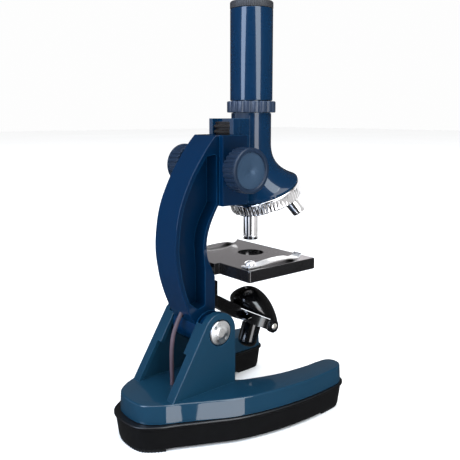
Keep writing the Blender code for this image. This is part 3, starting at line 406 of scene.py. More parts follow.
CAP_GREY = surface("cap_plastic", linear(70, 70, 74), 0.46, 0.14, 0.1, 2200, 110,
                   linear(120, 120, 124)).material
RACK_BLACK = surface("rack_plastic", linear(38, 32, 30), 0.3, 0.2, 0.05, 1600, 150,
                     linear(96, 88, 80)).material
RUBBER = surface("foot_rubber", linear(24, 24, 25), 0.75, 0.2, 0.25, 2800, 160).material
LEAD = surface("lead_sleeve", linear(112, 92, 104), 0.42, 0.15, 0.05, 1800, 200).material
CELL = surface("cell_sleeve", linear(120, 124, 130), 0.3, 0.1, 0.02, 900, 60, Metallic=0.5).material
WASHER = surface("washer_fibre", linear(40, 38, 38), 0.6, 0.2, 0.2, 3000, 200).material
CHROME = plated("chrome_plate", (0.9, 0.9, 0.92), 0.07, 0.003).material
CLIP_METAL = plated("clip_metal", (0.95, 0.95, 0.96), 0.3, 0.003).material
STEEL = plated("zinc_plate", (0.62, 0.63, 0.64), 0.3, 0.08, grain_scale=1500).material
NUT_METAL = plated("nut_metal", (0.6, 0.61, 0.62), 0.3, 0.004, grain_scale=1800).material
BRASS = plated("pin_metal", (0.66, 0.64, 0.6), 0.22, 0.05).material


def knob_face():
    """Knob's front, turned on a lathe: fine rings that stretch the highlight."""
    n = surface("knob_face", linear(76, 104, 134), 0.3, 0.04, 0.0, 1500, 120, Metallic=0.35,
                Anisotropic=0.75)
    relief = n.bump(rings_about_x(n, 0.45 * MM), 0.25, LATHE_DEPTH)
    n.put(relief, n.shader.inputs["Normal"])
    tangent = n.new("ShaderNodeTangent", direction_type="RADIAL", axis="X")
    n.put(tangent.outputs[0], n.shader.inputs["Tangent"])
    return n.material


def glass(name, colour, rough):
    """Clear or tinted glass with a little unevenness."""
    n = Nodes(name)
    tone = tuple(c * 0.96 for c in colour)
    n.put(n.mix(n.spread(n.noise(160), 0, 1), tone, colour), n.shader.inputs["Base Color"])
    n.put(n.spread(n.noise(300), rough, rough * 2), n.shader.inputs["Roughness"])
    n.set(Transmission_Weight=1.0, IOR=1.5)
    return n.material


KNOB_FACE = knob_face()
LENS = glass("lens_glass", (0.9, 0.94, 1.0), 0.01)
BULB_GLASS = glass("bulb_glass", (1.0, 0.97, 0.9), 0.02)
BLUE_GLASS = glass("filter_glass", linear(30, 60, 240), 0.03)


# ---------------------------------------------------------------- base
BASE_TOP, SEAM, RIM_TOP, PLINTH_FLOOR = 23.6, 14.5, 14.2, 1.6
BASE_WALL, PLINTH_WALL, RIM_PROUD, TAIL = 2.1, 2.2, 1.67, 2.2
BASE_OUTLINE = [(0, -79.5), (10, -77.8), (16.2, -71.5), (20.5, -63), (27, -51), (33.5, -38), (37.8, -23),
                (40.4, -8), (41.5, 8), (40.9, 24), (39.6, 30.4), (36.4, 34.2), (31.8, 34.6), (28.4, 31.6),
                (27.6, 24), (27.4, 14), (25.4, -1), (21.6, -14), (17, -24), (9, -29.6), (0, -31)]
SCREW_PLACES = [(13.2, -63.0), (-13.2, -63.0), (35.2, 8.0), (-35.2, 8.0)]
PIVOT = (-36.5, 52.2)                  # of the arm's hinge, as Y and Z
CHEEK_RADIUS, CHEEK_WALL, CHEEK_EDGE = 10.0, 2.2, 0.4
BORE_RADIUS = 3.3                      # of the hole for the hinge bolt
FOOT_HEIGHT, FOOT_EDGE = 1.3, 0.2
BACK_FOOT_END, FRONT_FOOT_START = -68.45, 15.0
RIB_PITCH, RIB_DEPTH, RIB_SPACING = 1.6, 0.3, 0.2
LEAD_Y, LEAD_RADIUS = -53.4, 1.1


def horseshoe(distance):
    """Outline of the base, moved outwards by the distance."""
    mirrored = [(-x, y) for x, y in reversed(BASE_OUTLINE[1:-1])]
    return offset(smooth(BASE_OUTLINE + mirrored, 6, closed=True), distance)


def plinth_outline(distance):
    """The same outline with the plinth's tail drawn out at the back."""
    return [(x, y - TAIL * min(1, max(0, (-y - 45) / 30))) for x, y in horseshoe(distance)]


def flat_rings(outline, levels):
    """Rings for a loft, from (height, outward distance) pairs."""
    return [[(x, y, z) for x, y in outline(d)] for z, d in levels]


def across(name, radius, y, z, reach=30, segments=32):
    """Cylinder along X through a point of the side view."""
    return cylinder(name, radius, (-reach, y, z), (reach, y, z), segments)


def cheek(side):
    """Hinge cheek: a plate with a round top, hollow on its inner face and notched at the back."""
    centre, radius = PIVOT, CHEEK_RADIUS
    out = Vector((-66.4, 22.5)) - Vector(centre)
    touch = math.degrees(math.atan2(out.y, out.x) - math.acos(radius / out.length)) % 360
    outline = [(-66.4, 22.1), (centre[0] + radius, 22.1)] + arc(centre, radius, 0, touch, 40)
    xs = sorted((10.1 * side, 18.5 * side))
    plate = prism(f"cheek_{side}", outline, xs[0], xs[1], "X", CHEEK_EDGE)
    top, foot = Vector(arc(centre, radius, touch, touch, 1)[0]), Vector((-66.4, 22.5))
    along = (top - foot).normalized()
    square = Vector((along.y, -along.x)) * CHEEK_WALL
    inside = [foot + square - along * 6, Vector((0, foot.y - 6)), Vector((0, 80)), top - square * 5,
              top + square]
    xs = sorted((0, 14.6 * side))
    cut(plate, prism(f"cheek_pocket_{side}", [tuple(p) for p in inside], xs[0], xs[1], "X"))
    step = foot + along * 24.5
    below = [foot - square * 1.36 - along * 6, foot + square * 1.36 - along * 6, step + square * 1.36,
             step - square * 1.36]
    xs = sorted((0, 13.1 * side))
    return cut(plate, prism(f"cheek_notch_{side}", [tuple(p) for p in below], xs[0], xs[1], "X"))


def build_base():
    """Casting with its two cheeks, plinth with its hatch recess and screw posts, and ribbed feet."""
    turns = [math.radians(15 * k) for k in range(7)]
    top = [(BASE_TOP - 0.9 * (1 - math.cos(a)), 0.9 * math.sin(a) - 0.9) for a in turns]
    shell = loft("base_casting_form", flat_rings(horseshoe, top + [(SEAM, 0.4)]))
    hollow = flat_rings(lambda d: horseshoe(-BASE_WALL), [(BASE_TOP - 2.4, 0), (11, 0)])
    cut(shell, loft("base_hollow", hollow))
    join(shell, cheek(1), cheek(-1))
    cut(shell, across("hinge_hole", BORE_RADIUS, *PIVOT))
    for side in (1, -1):
        ends = sorted((17.3 * side, 20.5 * side))
        cut(shell, cylinder(f"counterbore_{side}", 7.0, (ends[0], *PIVOT), (ends[1], *PIVOT), 64))
    cut(shell, cylinder("lead_hole", LEAD_RADIUS + 0.5, (0, LEAD_Y, 18), (0, LEAD_Y, 26), 32))
    show(shell, "base_casting", BASE_BLUE, sharp=35)

    rim = [(RIM_TOP, RIM_PROUD - 0.4), (RIM_TOP - 0.12, RIM_PROUD - 0.12), (RIM_TOP - 0.4, RIM_PROUD),
           (RIM_TOP - 1.2, RIM_PROUD), (RIM_TOP - 1.6, 1.3), (RIM_TOP - 1.9, 0.8), (PLINTH_FLOOR, -0.7)]
    plinth = loft("base_plinth_form", flat_rings(plinth_outline, rim))
    cut(plinth, loft("plinth_hollow", flat_rings(lambda d: horseshoe(-PLINTH_WALL), [(17, 0), (4.1, 0)])),
        box("hatch_recess", (-22.6, -56.0, 0), (22.6, -34.5, PLINTH_FLOOR + 1.3)),
        box("hatch_tab_recess", (-4.3, -64.5, 0), (4.3, -55.0, PLINTH_FLOOR + 1.3)),
        box("hatch_opening", (-21.4, -54.8, 0), (21.4, -35.8, 6)))
    for i, (x, y) in enumerate(SCREW_PLACES):
        join(plinth, cylinder(f"post_{i}", 3.7, (x, y, 2.6), (x, y, RIM_TOP), 32))
    for i, (x, y) in enumerate(SCREW_PLACES):
        cut(plinth, cylinder(f"through_{i}", 1.5, (x, y, 0), (x, y, 16), 24),
            cylinder(f"sink_{i}", 2.7, (x, y, 0), (x, y, 4.0), 32))
    show(plinth, "base_plinth", BLACK, 0.15, angle=45)

    level = plinth_outline(-1.1)
    outlines = {"foot_back": [p for p in level if p[1] < BACK_FOOT_END]}
    for side, name in ((1, "foot_right"), (-1, "foot_left")):
        outlines[name] = [p for p in level if p[1] > FRONT_FOOT_START and p[0] * side > 0]
    for name, outline in outlines.items():
        gap = max(range(len(outline)), key=lambda i: (Vector(outline[i]) - Vector(outline[i - 1])).length)
        rim = ribbed(outline[gap:] + outline[:gap])
        show(prism(name + "_form", rim, 0, FOOT_HEIGHT, "Z", FOOT_EDGE), name, RUBBER, sharp=60)


def ribbed(outline):
    """Closed outline resampled evenly, with ribs pressed into it."""
    total = sum((Vector(b) - Vector(a)).length for a, b in zip(outline, outline[1:] + outline[:1]))
    count, ribs = int(total / RIB_SPACING), round(total / RIB_PITCH)
    points, travelled, leg = [], 0.0, 0
    loop = outline + outline[:1]
    for i in range(count):
        goal = total * i / count
        while travelled + (Vector(loop[leg + 1]) - Vector(loop[leg])).length < goal:
            travelled += (Vector(loop[leg + 1]) - Vector(loop[leg])).length
            leg += 1
        a, b = Vector(loop[leg]), Vector(loop[leg + 1])
        points.append(tuple(a.lerp(b, (goal - travelled) / max((b - a).length, 1e-6))))
    if sum(a[0] * b[1] - b[0] * a[1] for a, b in zip(points, points[1:] + points[:1])) < 0:
        points = points[::-1]
    ring = []
    for i, point in enumerate(points):
        way = Vector(points[(i + 3) % count]) - Vector(points[i - 3])
        inward = Vector((-way.y, way.x)).normalized()
        wave = 0.5 - 0.5 * math.cos(math.tau * ribs * i / count)
        ring.append(tuple(Vector(point) + inward * RIB_DEPTH * wave))
    return ring


def build_hinge():
    """Nut and bolt, with the same domed face on either side."""
    seat = 17.6
    face = [(0, 2.3), (1.6, 2.27), (2.6, 2.15), (3.2, 1.75), (3.5, 1.55), (5.7, 1.5), (6.1, 1.3),
            (6.3, 0.9)]
    nut = turned("pivot_nut_form", face + [(6.3, 0), (3.3, 0), (3.3, 1.0), (0, 1.0)], (seat, *PIVOT),
                 (1, 0, 0), 96)
    for i, angle in enumerate((135, 315)):
        y, z = arc(PIVOT, 4.7, angle, angle, 1)[0]
        cut(nut, cylinder(f"nut_hole_{i}", 0.75, (seat + 0.4, y, z), (seat + 4, y, z), 24))
    show(nut, "pivot_nut", NUT_METAL, sharp=40)
    head = [(r, seat + z) for r, z in face] + [(6.3, seat), (3.0, seat), (3.0, -18.2), (0, -18.2)]
    bolt = turned("pivot_bolt_form", head, (0, *PIVOT), (-1, 0, 0), 96)
    show(bolt, "pivot_bolt", NUT_METAL, sharp=40)


def build_lead():
    """Lead from the base to the arm, drawn curved between the two."""
    route = [(0, LEAD_Y + 2.5, 17.0), (0, LEAD_Y, 20.0), (0, LEAD_Y, 26), (0, LEAD_Y - 0.2, 34),
             (0, LEAD_Y - 0.1, 42), (0, LEAD_Y + 0.9, 49), (0, LEAD_Y + 3.2, 55), (0, LEAD_Y + 6.4, 60.5)]
    path = [Vector(p) for p in smooth(route, 10)]
    rings = []
    for i, point in enumerate(path):
        way = (path[min(i + 1, len(path) - 1)] - path[max(i - 1, 0)]).normalized()
        other = ALONG_X.cross(way)
        rings.append([point + (ALONG_X * math.cos(a) + other * math.sin(a)) * LEAD_RADIUS
                      for a in (math.tau * k / 24 for k in range(24))])
    lead = loft("lead_wire_form", rings)
    lead.data.transform(Matrix.Translation((0, AXIS_Y, 0)))
    lead.data.materials.append(LEAD)
    lead.data.shade_smooth()
    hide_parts("lead_wire")
    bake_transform(lead)


# ---------------------------------------------------------------- arm
ARM_FRONT, HOUSING_TOP = -32.3, 150.6
ARM_BACK_CURVE = [(-31.6, HOUSING_TOP), (-35.0, 147.0), (-40.0, 140.6), (-47.8, 128.8), (-54.2, 113.9),
                  (-56.7, 96.5), (-55.4, 82.8), (-52.6, 72.0), (-48.4, 61.2)]
ARM_FRONT_CURVE = [(ARM_FRONT, 78.5), (-34.2, 83.0), (-37.0, 89.5), (-37.3, 97.6), (-35.1, 105.5),
                   (-30.4, 114.3), (-27.0, 118.0)]
PINION_AXIS = (-24.7, 133.8)           # as Y and Z
BOSS_RADIUS = ARM_HALF = 9.2
ARM_EDGE, HOUSING_EDGE, HOUSING_HALF = 0.45, 0.4, 12.0
RIM_WIDTH = 2.1                        # of the arm's edge behind the pocket


def build_arm():
    """Curved arm with a pocket in each side, the slide housing and the hinge boss."""
    front = [(ARM_FRONT, PIVOT[1] + math.sqrt(BOSS_RADIUS ** 2 - (ARM_FRONT - PIVOT[0]) ** 2))]
    front += smooth(ARM_FRONT_CURVE, 8)
    outline = front + [(-20.0, 118.0), (-20.0, HOUSING_TOP)] + smooth(ARM_BACK_CURVE, 8)
    outline += arc(PIVOT, BOSS_RADIUS, 158, 418, 48)
    arm = prism("arm_form", outline, -ARM_HALF, ARM_HALF, "X", ARM_EDGE)
    back = []
    curve = smooth(ARM_BACK_CURVE[1:], 8)
    for before, point, after in zip(curve, curve[1:], curve[2:]):
        along = Vector(after) - Vector(before)
        moved = Vector(point) + Vector((-along.y, along.x)).normalized() * RIM_WIDTH
        if 67.0 < moved.y < 141.0 and moved.x < -33.5:
            back.append(tuple(moved))
    inner = smooth([(-38.9, 84.0), (-39.4, 90.5), (-39.5, 97.6), (-37.3, 106.0), (-31.3, 116.2)], 6)
    pocket = fillet([(-43.6, 63.4), (-38.9, 64.5)] + inner + [(-31.3, 141.5)] + back, 1.6)
    for side in (1, -1):
        xs = sorted((side, 20 * side))
        cut(arm, prism(f"arm_pocket_{side}", pocket, xs[0], xs[1], "X"))
    outline = [(-29.4, 114.8), (-13.0, 114.8), (-13.0, HOUSING_TOP), (-29.3, HOUSING_TOP)]
    join(arm, prism("slide_housing", outline, -HOUSING_HALF, HOUSING_HALF, "X", HOUSING_EDGE))
    join(arm, across("hinge_boss", BOSS_RADIUS, *PIVOT, 9.8, segments=96),
         across("hinge_spacer", 7.4, *PIVOT, 13.0, segments=72))
    cut(arm, across("bolt_bore", BORE_RADIUS, *PIVOT), across("shaft_hole", 2.3, *PINION_AXIS, 20),
        across("pinion_pocket", 5.5, *PINION_AXIS, 6.4, segments=48),
        box("slide_slot", (-10.3, -21.3, 100), (10.3, -16.7, 170)),
        box("neck_slot", (-7.8, -17.7, 100), (7.8, 0, 170)),
        cylinder("lead_socket", LEAD_RADIUS + 0.6, (0, LEAD_Y + 0.3, 48.5), (0, LEAD_Y + 8.2, 63.5), 24))
    show(arm, "arm", ARM_BLUE, 0.3, angle=50)


STAGE_BOTTOM, STAGE_TOP, STAGE_CORNER, STAGE_EDGE = 78.95, 85.0, 1.2, 0.7
CLIP_THICKNESS, CLIP_HALF = 0.7, 2.9


def rounded(low, high, radius):
    """Rectangle with round corners."""
    corners = [(high[0] - radius, low[1] + radius, -90), (high[0] - radius, high[1] - radius, 0),
               (low[0] + radius, high[1] - radius, 90), (low[0] + radius, low[1] + radius, 180)]
    return [p for x, y, a in corners for p in arc((x, y), radius, a, a + 90, 6)]


def build_stage():
    """Stage plate, hollow from below, with its two spring clips and their screws."""
    outline = rounded((-31.9, -28.9), (31.9, 18.1), STAGE_CORNER)
    stage = prism("stage_plate_form", outline, STAGE_BOTTOM, STAGE_TOP, "Z", STAGE_EDGE)
    join(stage, box("stage_lug", (-8.0, -32.0, STAGE_BOTTOM), (8.0, -27.9, STAGE_TOP)))
    cut(stage, box("stage_hollow", (-29.3, -21.9, 77.9), (29.3, 15.5, 82.6)))
    join(stage, cylinder("stage_collar", 9.25, (0, 0, STAGE_BOTTOM + 0.6), (0, 0, 84), 72))
    cut(stage, cylinder("stage_hole", 7.25, (0, 0, 70), (0, 0, 90), 96))
    show(stage, "stage_plate", STAGE_BLACK, 0.3, angle=50)
    for side, name in ((1, "right"), (-1, "left")):
        x, y = 26.0 * side, -23.5
        route = [(y - 3.4, 0.3), (y, 0.3), (y + 5, 0.4), (y + 15, 1.3), (y + 25, 1.2), (y + 29.5, 0.3),
                 (y + 32.0, 0.6), (y + 34.0, 2.4)]
        line = smooth(route, 10)
        outline = [(a, STAGE_TOP + b) for a, b in line]
        outline += [(a, STAGE_TOP + CLIP_THICKNESS + b) for a, b in line[::-1]]
        strip = prism(f"stage_clip_{name}_form", outline, x - CLIP_HALF, x + CLIP_HALF, "X")
        cut(strip, cylinder(f"eye_{name}", 1.25, (x, y, 83), (x, y, 89), 32))
        show(strip, f"stage_clip_{name}", CLIP_METAL, 0.12, angle=50)
        dome = [(0, 3.6), (0.8, 3.57), (1.5, 3.45), (2.2, 3.15), (2.6, 2.8), (2.7, 2.5), (2.7, 1.5),
                (0.9, 1.5), (0.9, -4.6), (0, -4.8)]
        screw = turned(f"clip_screw_{name}_form", dome, (x, y, STAGE_TOP), steps=64)
        show(screw, f"clip_screw_{name}", CLIP_METAL)


KNOB_TEETH, TOOTH_DEPTH = 28, 0.7
FACE_RADIUS, FACE_START = 8.95 * MM, 27.0 * MM


def build_knobs():
    """Two focus knobs, each with a toothed band and a turned face in a finish of its own."""
    def teeth(a, r, z):
        """Teeth round the band; the rim in front of them stays smooth."""
        off = abs((math.degrees(a) / (360 / KNOB_TEETH) + 0.5) % 1 - 0.5) * 360 / KNOB_TEETH
        t = min(1, max(0, (off - 2.2) / 2.3))
        reach = min(1, max(0, (r - 10.4) / 0.9)) if z < 27.5 else 0
        return r - TOOTH_DEPTH * reach * t * t * (3 - 2 * t)

    front = [(0, 27.35), (0.5, 27.36), (0.9, 27.6), (9.0, 27.72), (9.05, 27.95), (9.25, 28.45),
             (9.5, 28.65), (9.9, 28.7)]
    band = [(10.7, 28.7), (11.05, 28.6), (11.25, 28.35), (11.3, 28.0), (11.3, 27.6), (11.3, 27.4),
            (11.3, 20.2), (11.2, 19.85), (10.9, 19.7)]
    hub = [(5.6, 19.7), (5.6, 12.6), (5.4, 12.4), (2.3, 12.4), (2.3, 26.0), (0, 26.0)]
    for side, name in ((1, "right"), (-1, "left")):
        knob = turned(f"focus_knob_{name}_form", front + band + hub, (0, *PINION_AXIS), (side, 0, 0), 392,
                      radius_at=teeth)
        piece = show(knob, f"focus_knob_{name}", KNOB_BLUE, sharp=40)
        piece.data.materials.append(KNOB_FACE)
        centre = Vector((0, PINION_AXIS[0] * MM + AXIS_Y, PINION_AXIS[1] * MM))
        for polygon in piece.data.polygons:
            middle = polygon.center - centre
            if math.hypot(middle.y, middle.z) < FACE_RADIUS and abs(middle.x) > FACE_START:
                polygon.material_index = 1


# ---------------------------------------------------------------- tube and turret
TILT = math.radians(22)
DOWN = Vector((0, math.sin(TILT), -math.cos(TILT)))
INWARD = Vector((0, -math.cos(TILT), -math.sin(TILT)))
OBJECTIVE_CIRCLE = 9.9                 # radius of the circle on which the objectives stand
KNURLS, KNURL_DEPTH = 66, 0.28
TURRET_CENTRE = Vector((0, 0, 116.4)) - INWARD * OBJECTIVE_CIRCLE
TUBE_RADIUS, TUBE_TOP, FLARE_TOP, FLARE_RADIUS = 10.8, 161.8, 146.0, 20.0


def tilted_ring(centre, count):
    """Circle of the flare's radius, square to the turret's axis."""
    return [centre + ALONG_X * FLARE_RADIUS * math.sin(a) - INWARD * FLARE_RADIUS * math.cos(a)
            for a in (math.tau * i / count for i in range(count))]


def build_tube():
    """Body tube, flared into the tilted seat of the turret, with its slide bar."""
    count, levels = 96, 18
    bottom = tilted_ring(TURRET_CENTRE - DOWN * 0.3, count)
    lip = tilted_ring(TURRET_CENTRE - DOWN * 1.4, count)
    rings = []
    for k in range(levels + 1):
        t = k / levels
        ring = []
        for i in range(count):
            a = math.tau * i / count
            top = Vector((TUBE_RADIUS * math.sin(a), TUBE_RADIUS * math.cos(a), FLARE_TOP))
            bend = Vector((top.x, top.y, lip[i].z + 3.0 + 2.0 * math.cos(a)))
            ring.append(top * (1 - t) ** 2 + bend * 2 * t * (1 - t) + lip[i] * t * t)
        rings.append(ring)
    tube = loft("body_tube_form", [[(p.x, p.y, TUBE_TOP) for p in rings[0]]] + rings + [bottom])
    join(tube, cylinder("tube_neck", 10.2, (0, 0, 160.8), (0, 0, 167.7), 96),
         box("slide_bar", (-10, -21, 114.5), (10, -17, 159)),
         box("slide_neck", (-7.5, -18, 114.5), (7.5, -6, 159)))
    cut(tube, box("rack_groove", (-7.2, -22, 100), (7.2, -17.6, 170)),
        cylinder("tube_bore", 9.3, (0, 0, 128), (0, 0, 190), 96),
        cylinder("light_bore", 4.2, (0, 0, 100), (0, 0, 140), 48))
    show(tube, "body_tube", TUBE_BLUE, 0.15, angle=50)


def stepped(name, profile, base, axis, steps):
    """Cutter with a counterbore, as one closed solid."""
    return turned(name, [(0, profile[0][1]), *profile, (0, profile[-1][1])], base, axis, steps)


def build_turret():
    """Knurled nosepiece with three objectives and their lenses."""
    def knurl(a, r, z):
        on_band = r > 20.6 and -5.9 < z < -1.2
        return r - (KNURL_DEPTH * (0.5 + 0.5 * math.cos(KNURLS * a)) if on_band else 0)

    profile = [(0, 0), (19.9, 0), (20.4, -0.15), (20.7, -0.5), (20.8, -1.0), (20.8, -1.3), (20.8, -5.8),
               (20.8, -6.2), (20.6, -6.7), (20.0, -7.0), (18.6, -7.4), (17.2, -8.0), (14.6, -9.0),
               (12.0, -9.8), (8.5, -10.4), (5.0, -10.6), (0, -10.6)]
    disc = turned("nosepiece_form", profile, TURRET_CENTRE, -DOWN, 396, radius_at=knurl)
    hole = ((2.1, 3), (2.1, -8.4), (3.5, -8.4), (3.5, -14))
    cut(disc, stepped("turret_hole", hole, TURRET_CENTRE, -DOWN, 48))
    barrels = []
    for name, turn, length, radius in (("long", 0, 23.7, 4.4), ("short", 120, 18.6, 4.1),
                                       ("middle", 240, 21.0, 4.25)):
        a = math.radians(turn)
        radial = INWARD * math.cos(a) + ALONG_X * math.sin(a)
        seat = TURRET_CENTRE + radial * OBJECTIVE_CIRCLE
        way = DOWN * math.cos(TILT) + radial * math.sin(TILT)
        cut(disc, stepped(f"seat_{name}", ((3.8, 6), (3.8, -9.2), (5.2, -9.2), (5.2, -24)), seat, -way, 56))
        groove = [(radius, 10.6), (radius - 0.25, 10.7), (radius - 0.25, 11.0), (radius, 11.1)]
        outer = [(3.4, 1.6), (3.4, 9.5), (radius - 0.3, 9.55), (radius, 9.8)] + groove
        outer += [(radius, length - 3.4), (radius - 0.2, length - 3.3), (radius - 0.2, length - 3.0),
                  (radius, length - 2.9), (radius, length - 0.6), (radius - 0.15, length - 0.2),
                  (radius - 0.5, length), (2.3, length)]
        inner = [(2.3, length - 1.7), (1.7, length - 1.7), (1.7, 4.0), (2.4, 1.6)]
        wall = [(r, -t) for r, t in outer + inner]
        barrels.append((turned(f"objective_{name}_form", wall, seat, -way, 72, hollow=True),
                        f"objective_{name}", CHROME))
        dome = [(0, 1.0), (1.2, 0.97), (2.0, 0.9), (2.0, 0.1), (0, 0)]
        barrels.append((turned(f"objective_{name}_lens_form", dome, seat + way * (length - 0.4), -way, 48),
                        f"objective_{name}_lens", LENS))
    show(disc, "nosepiece", CHROME, sharp=35)
    for piece, node, material in barrels:
        show(piece, node, material, sharp=35)


LOBES, LOBE_DEPTH = 18, 0.75
FLUTES, FLUTE_DEPTH = 60, 0.16


def build_upper():
    """Lobed lock ring, draw tube and finely fluted eyepiece cap."""
    def lobes(a, r, z):
        return r - (LOBE_DEPTH * (0.5 + 0.5 * math.cos(LOBES * a)) ** 3 if r > 12.5 else 0)

    def fine(a, r, z):
        return r - (FLUTE_DEPTH * (0.5 + 0.5 * math.cos(FLUTES * a)) if r > 11.3 else 0)

    ring = [(12.7, 162.1), (13.0, 162.3), (13.1, 162.7), (13.1, 167.4), (13.0, 167.9), (12.6, 168.1),
            (10.5, 168.1), (10.5, 162.1)]
    draw = [(11.0, 216.1), (11.25, 216.05), (11.4, 215.8), (11.4, 168.7), (11.1, 168.4), (8.9, 168.4),
            (8.9, 132.0), (7.6, 132.0), (7.6, 190.0), (9.6, 192.0), (9.6, 216.1)]
    cap = [(5.2, 220.0), (10.8, 220.0), (11.2, 219.9), (11.5, 219.5), (11.5, 216.7), (11.3, 216.4),
           (9.2, 216.4), (9.2, 195.0), (7.9, 195.0), (7.9, 217.4), (5.2, 218.6)]
    for name, profile, steps, radius_at, material in (("lock_ring", ring, 288, lobes, RING_BLUE),
                                                      ("draw_tube", draw, 128, None, TUBE_BLUE),
                                                      ("eyepiece", cap, 480, fine, CAP_GREY)):
        form = turned(name + "_form", profile, (0, 0, 0), steps=steps, hollow=True, radius_at=radius_at)
        show(form, name, material, sharp=35)


# ---------------------------------------------------------------- lamp
LAMP_TILT = math.radians(27)
UP = Vector((0, math.sin(LAMP_TILT), math.cos(LAMP_TILT)))
BACK = Vector((0, -math.cos(LAMP_TILT), math.sin(LAMP_TILT)))
LAMP_CENTRE = Vector((0, 2.0, 46.2))
SOCKET_WAY = Vector((0, -0.34, -0.94)).normalized()


def lamp_ring(radius, start, end, steps):
    """Arc about the lamp's axis between two angles in degrees; 0 is at the back."""
    turns = [math.radians(start + (end - start) * i / steps) for i in range(steps + 1)]
    return [LAMP_CENTRE + ALONG_X * radius * math.sin(a) + BACK * radius * math.cos(a) for a in turns]


def thick(name, points, half):
    """Flat outline given thickness along the lamp's axis."""
    return loft(name, [[p + UP * half for p in points], [p - UP * half for p in points]])


def window(side, half):
    """Slot through the ring and the drum, behind which the blue filter shows."""
    outline = lamp_ring(12.8, 12 * side, 42 * side, 12) + lamp_ring(19.0, 42 * side, 12 * side, 12)
    return thick(f"window_{side}", outline, half)


def build_bracket():
    """Half ring that holds the lamp, with its lugs and the tongue to the stage."""
    bracket = thick("lamp_bracket_form", lamp_ring(14.2, -94, 94, 72) + lamp_ring(16.2, 94, -94, 72), 2.8)
    tongue = [(-30.0, 62.0), (-30.0, 67.5), (-26.0, 66.0), (-10.4, 56.8), (-13.0, 50.4), (-24.0, 57.4)]
    join(bracket, box("bracket_plate", (-6.5, -32.0, 61.5), (6.5, -28.6, 75.0)),
         prism("bracket_tongue", tongue, -4.5, 4.5, "X"))
    for side in (1, -1):
        start = LAMP_CENTRE + Vector((14.8 * side, 0, 0))
        join(bracket, cylinder(f"lug_{side}", 3.5, start, start + Vector((2.4 * side, 0, 0)), 48))
        cut(bracket, cylinder(f"lug_hole_{side}", 1.3, start - Vector((4.8 * side, 0, 0)),
                              start + Vector((7.2 * side, 0, 0)), 24),
            window(side, 1.9))
    cut(bracket, cylinder("bracket_tap", 1.5, (0, -36, 70.0), (0, -20, 70.0), 24),
        cylinder("bracket_sink", 2.7, (0, -29.9, 70.0), (0, -20, 70.0), 32),
        cylinder("drum_clearance", 14.6, LAMP_CENTRE - UP * 8, LAMP_CENTRE + UP * 12, 128))
    show(bracket, "lamp_bracket", LAMP_BLACK, 0.15, angle=50)


def build_lamp():
    """Drum, dome and socket of the lamp, with the bulb, the filter and the two pins."""
    wall = [(13.9, 2.5), (14.15, 2.4), (14.2, 2.15), (14.2, -2.5), (13.9, -2.8), (5.8, -2.8), (5.8, -1.6),
            (13.0, -1.6), (13.0, 2.5)]
    drum = turned("lamp_drum_form", wall, LAMP_CENTRE, UP, 128, hollow=True)
    for side in (1, -1):
        cut(drum, cylinder(f"drum_hole_{side}", 1.3, LAMP_CENTRE + Vector((10 * side, 0, 0)),
                           LAMP_CENTRE + Vector((22 * side, 0, 0)), 24), window(side, 1.7))
    show(drum, "lamp_drum", LAMP_BLACK, sharp=35)

    count, levels, sweep = 96, 20, math.radians(74)
    start, apex = LAMP_CENTRE + UP * 3.1, LAMP_CENTRE + Vector((0, -4.4, 18.6))

    def ring(level, inset):
        t = level / levels
        radius = 13.8 * math.cos(t * sweep) - inset
        centre = start.lerp(apex, math.sin(t * sweep) / math.sin(sweep))
        tip = UP.lerp(Vector((0, -0.1, 1)), t).normalized()
        square = ALONG_X.cross(tip)
        return [centre - tip * inset * t + ALONG_X * radius * math.sin(a) - square * radius * math.cos(a)
                for a in (math.tau * i / count for i in range(count))]

    rings = [ring(k, 0) for k in range(levels + 1)] + [ring(k, 1.3) for k in range(levels, -1, -1)]
    show(loft("lamp_dome_form", rings, closed=True), "lamp_dome", LAMP_BLACK, sharp=35)

    cup = [(0, 0), (5.4, 0), (5.4, -12.0), (5.25, -13.0), (4.8, -14.2), (4.0, -14.9), (3.0, -15.4),
           (1.5, -15.7), (0, -15.8)]
    socket = turned("lamp_socket_form", cup, LAMP_CENTRE, -SOCKET_WAY, 96)
    bore = (LAMP_CENTRE - SOCKET_WAY * 2, LAMP_CENTRE + SOCKET_WAY * 14.4)
    cut(socket, cylinder("socket_bore", 3.6, *bore, 48),
        cylinder("socket_trim", 12, LAMP_CENTRE - UP * 3.1, LAMP_CENTRE + UP * 9, 64))
    show(socket, "lamp_socket", LAMP_BLACK, sharp=35)
    envelope = [(0, 1.2), (0.8, 1.12), (1.5, 0.9), (2.2, 0.2), (2.6, -0.6), (2.9, -2.2), (2.7, -3.4),
                (2.4, -4.4), (2.4, -12.0), (1.0, -13.6), (0, -13.8)]
    show(turned("bulb_form", envelope, LAMP_CENTRE, -SOCKET_WAY, 64), "bulb", BULB_GLASS)
    disc = [(0, 2.0), (12.2, 2.0), (12.6, 1.6), (12.6, 0.4), (12.2, 0), (4.0, 0), (0, 1.3)]
    pane = turned("blue_filter_form", disc, LAMP_CENTRE + UP * 0.3, UP, 96)
    show(pane, "blue_filter", BLUE_GLASS, sharp=30)
    profile = [(0, 0.6), (0.7, 0.58), (1.3, 0.5), (1.8, 0.2), (1.8, 0), (1.0, 0), (1.0, -4.7), (0, -4.9)]
    for side, name in ((1, "right"), (-1, "left")):
        seat = LAMP_CENTRE + Vector((17.5 * side, 0, 0))
        pin = turned(f"lamp_pin_{name}_form", profile, seat, (side, 0, 0), 48)
        show(pin, f"lamp_pin_{name}", BRASS)


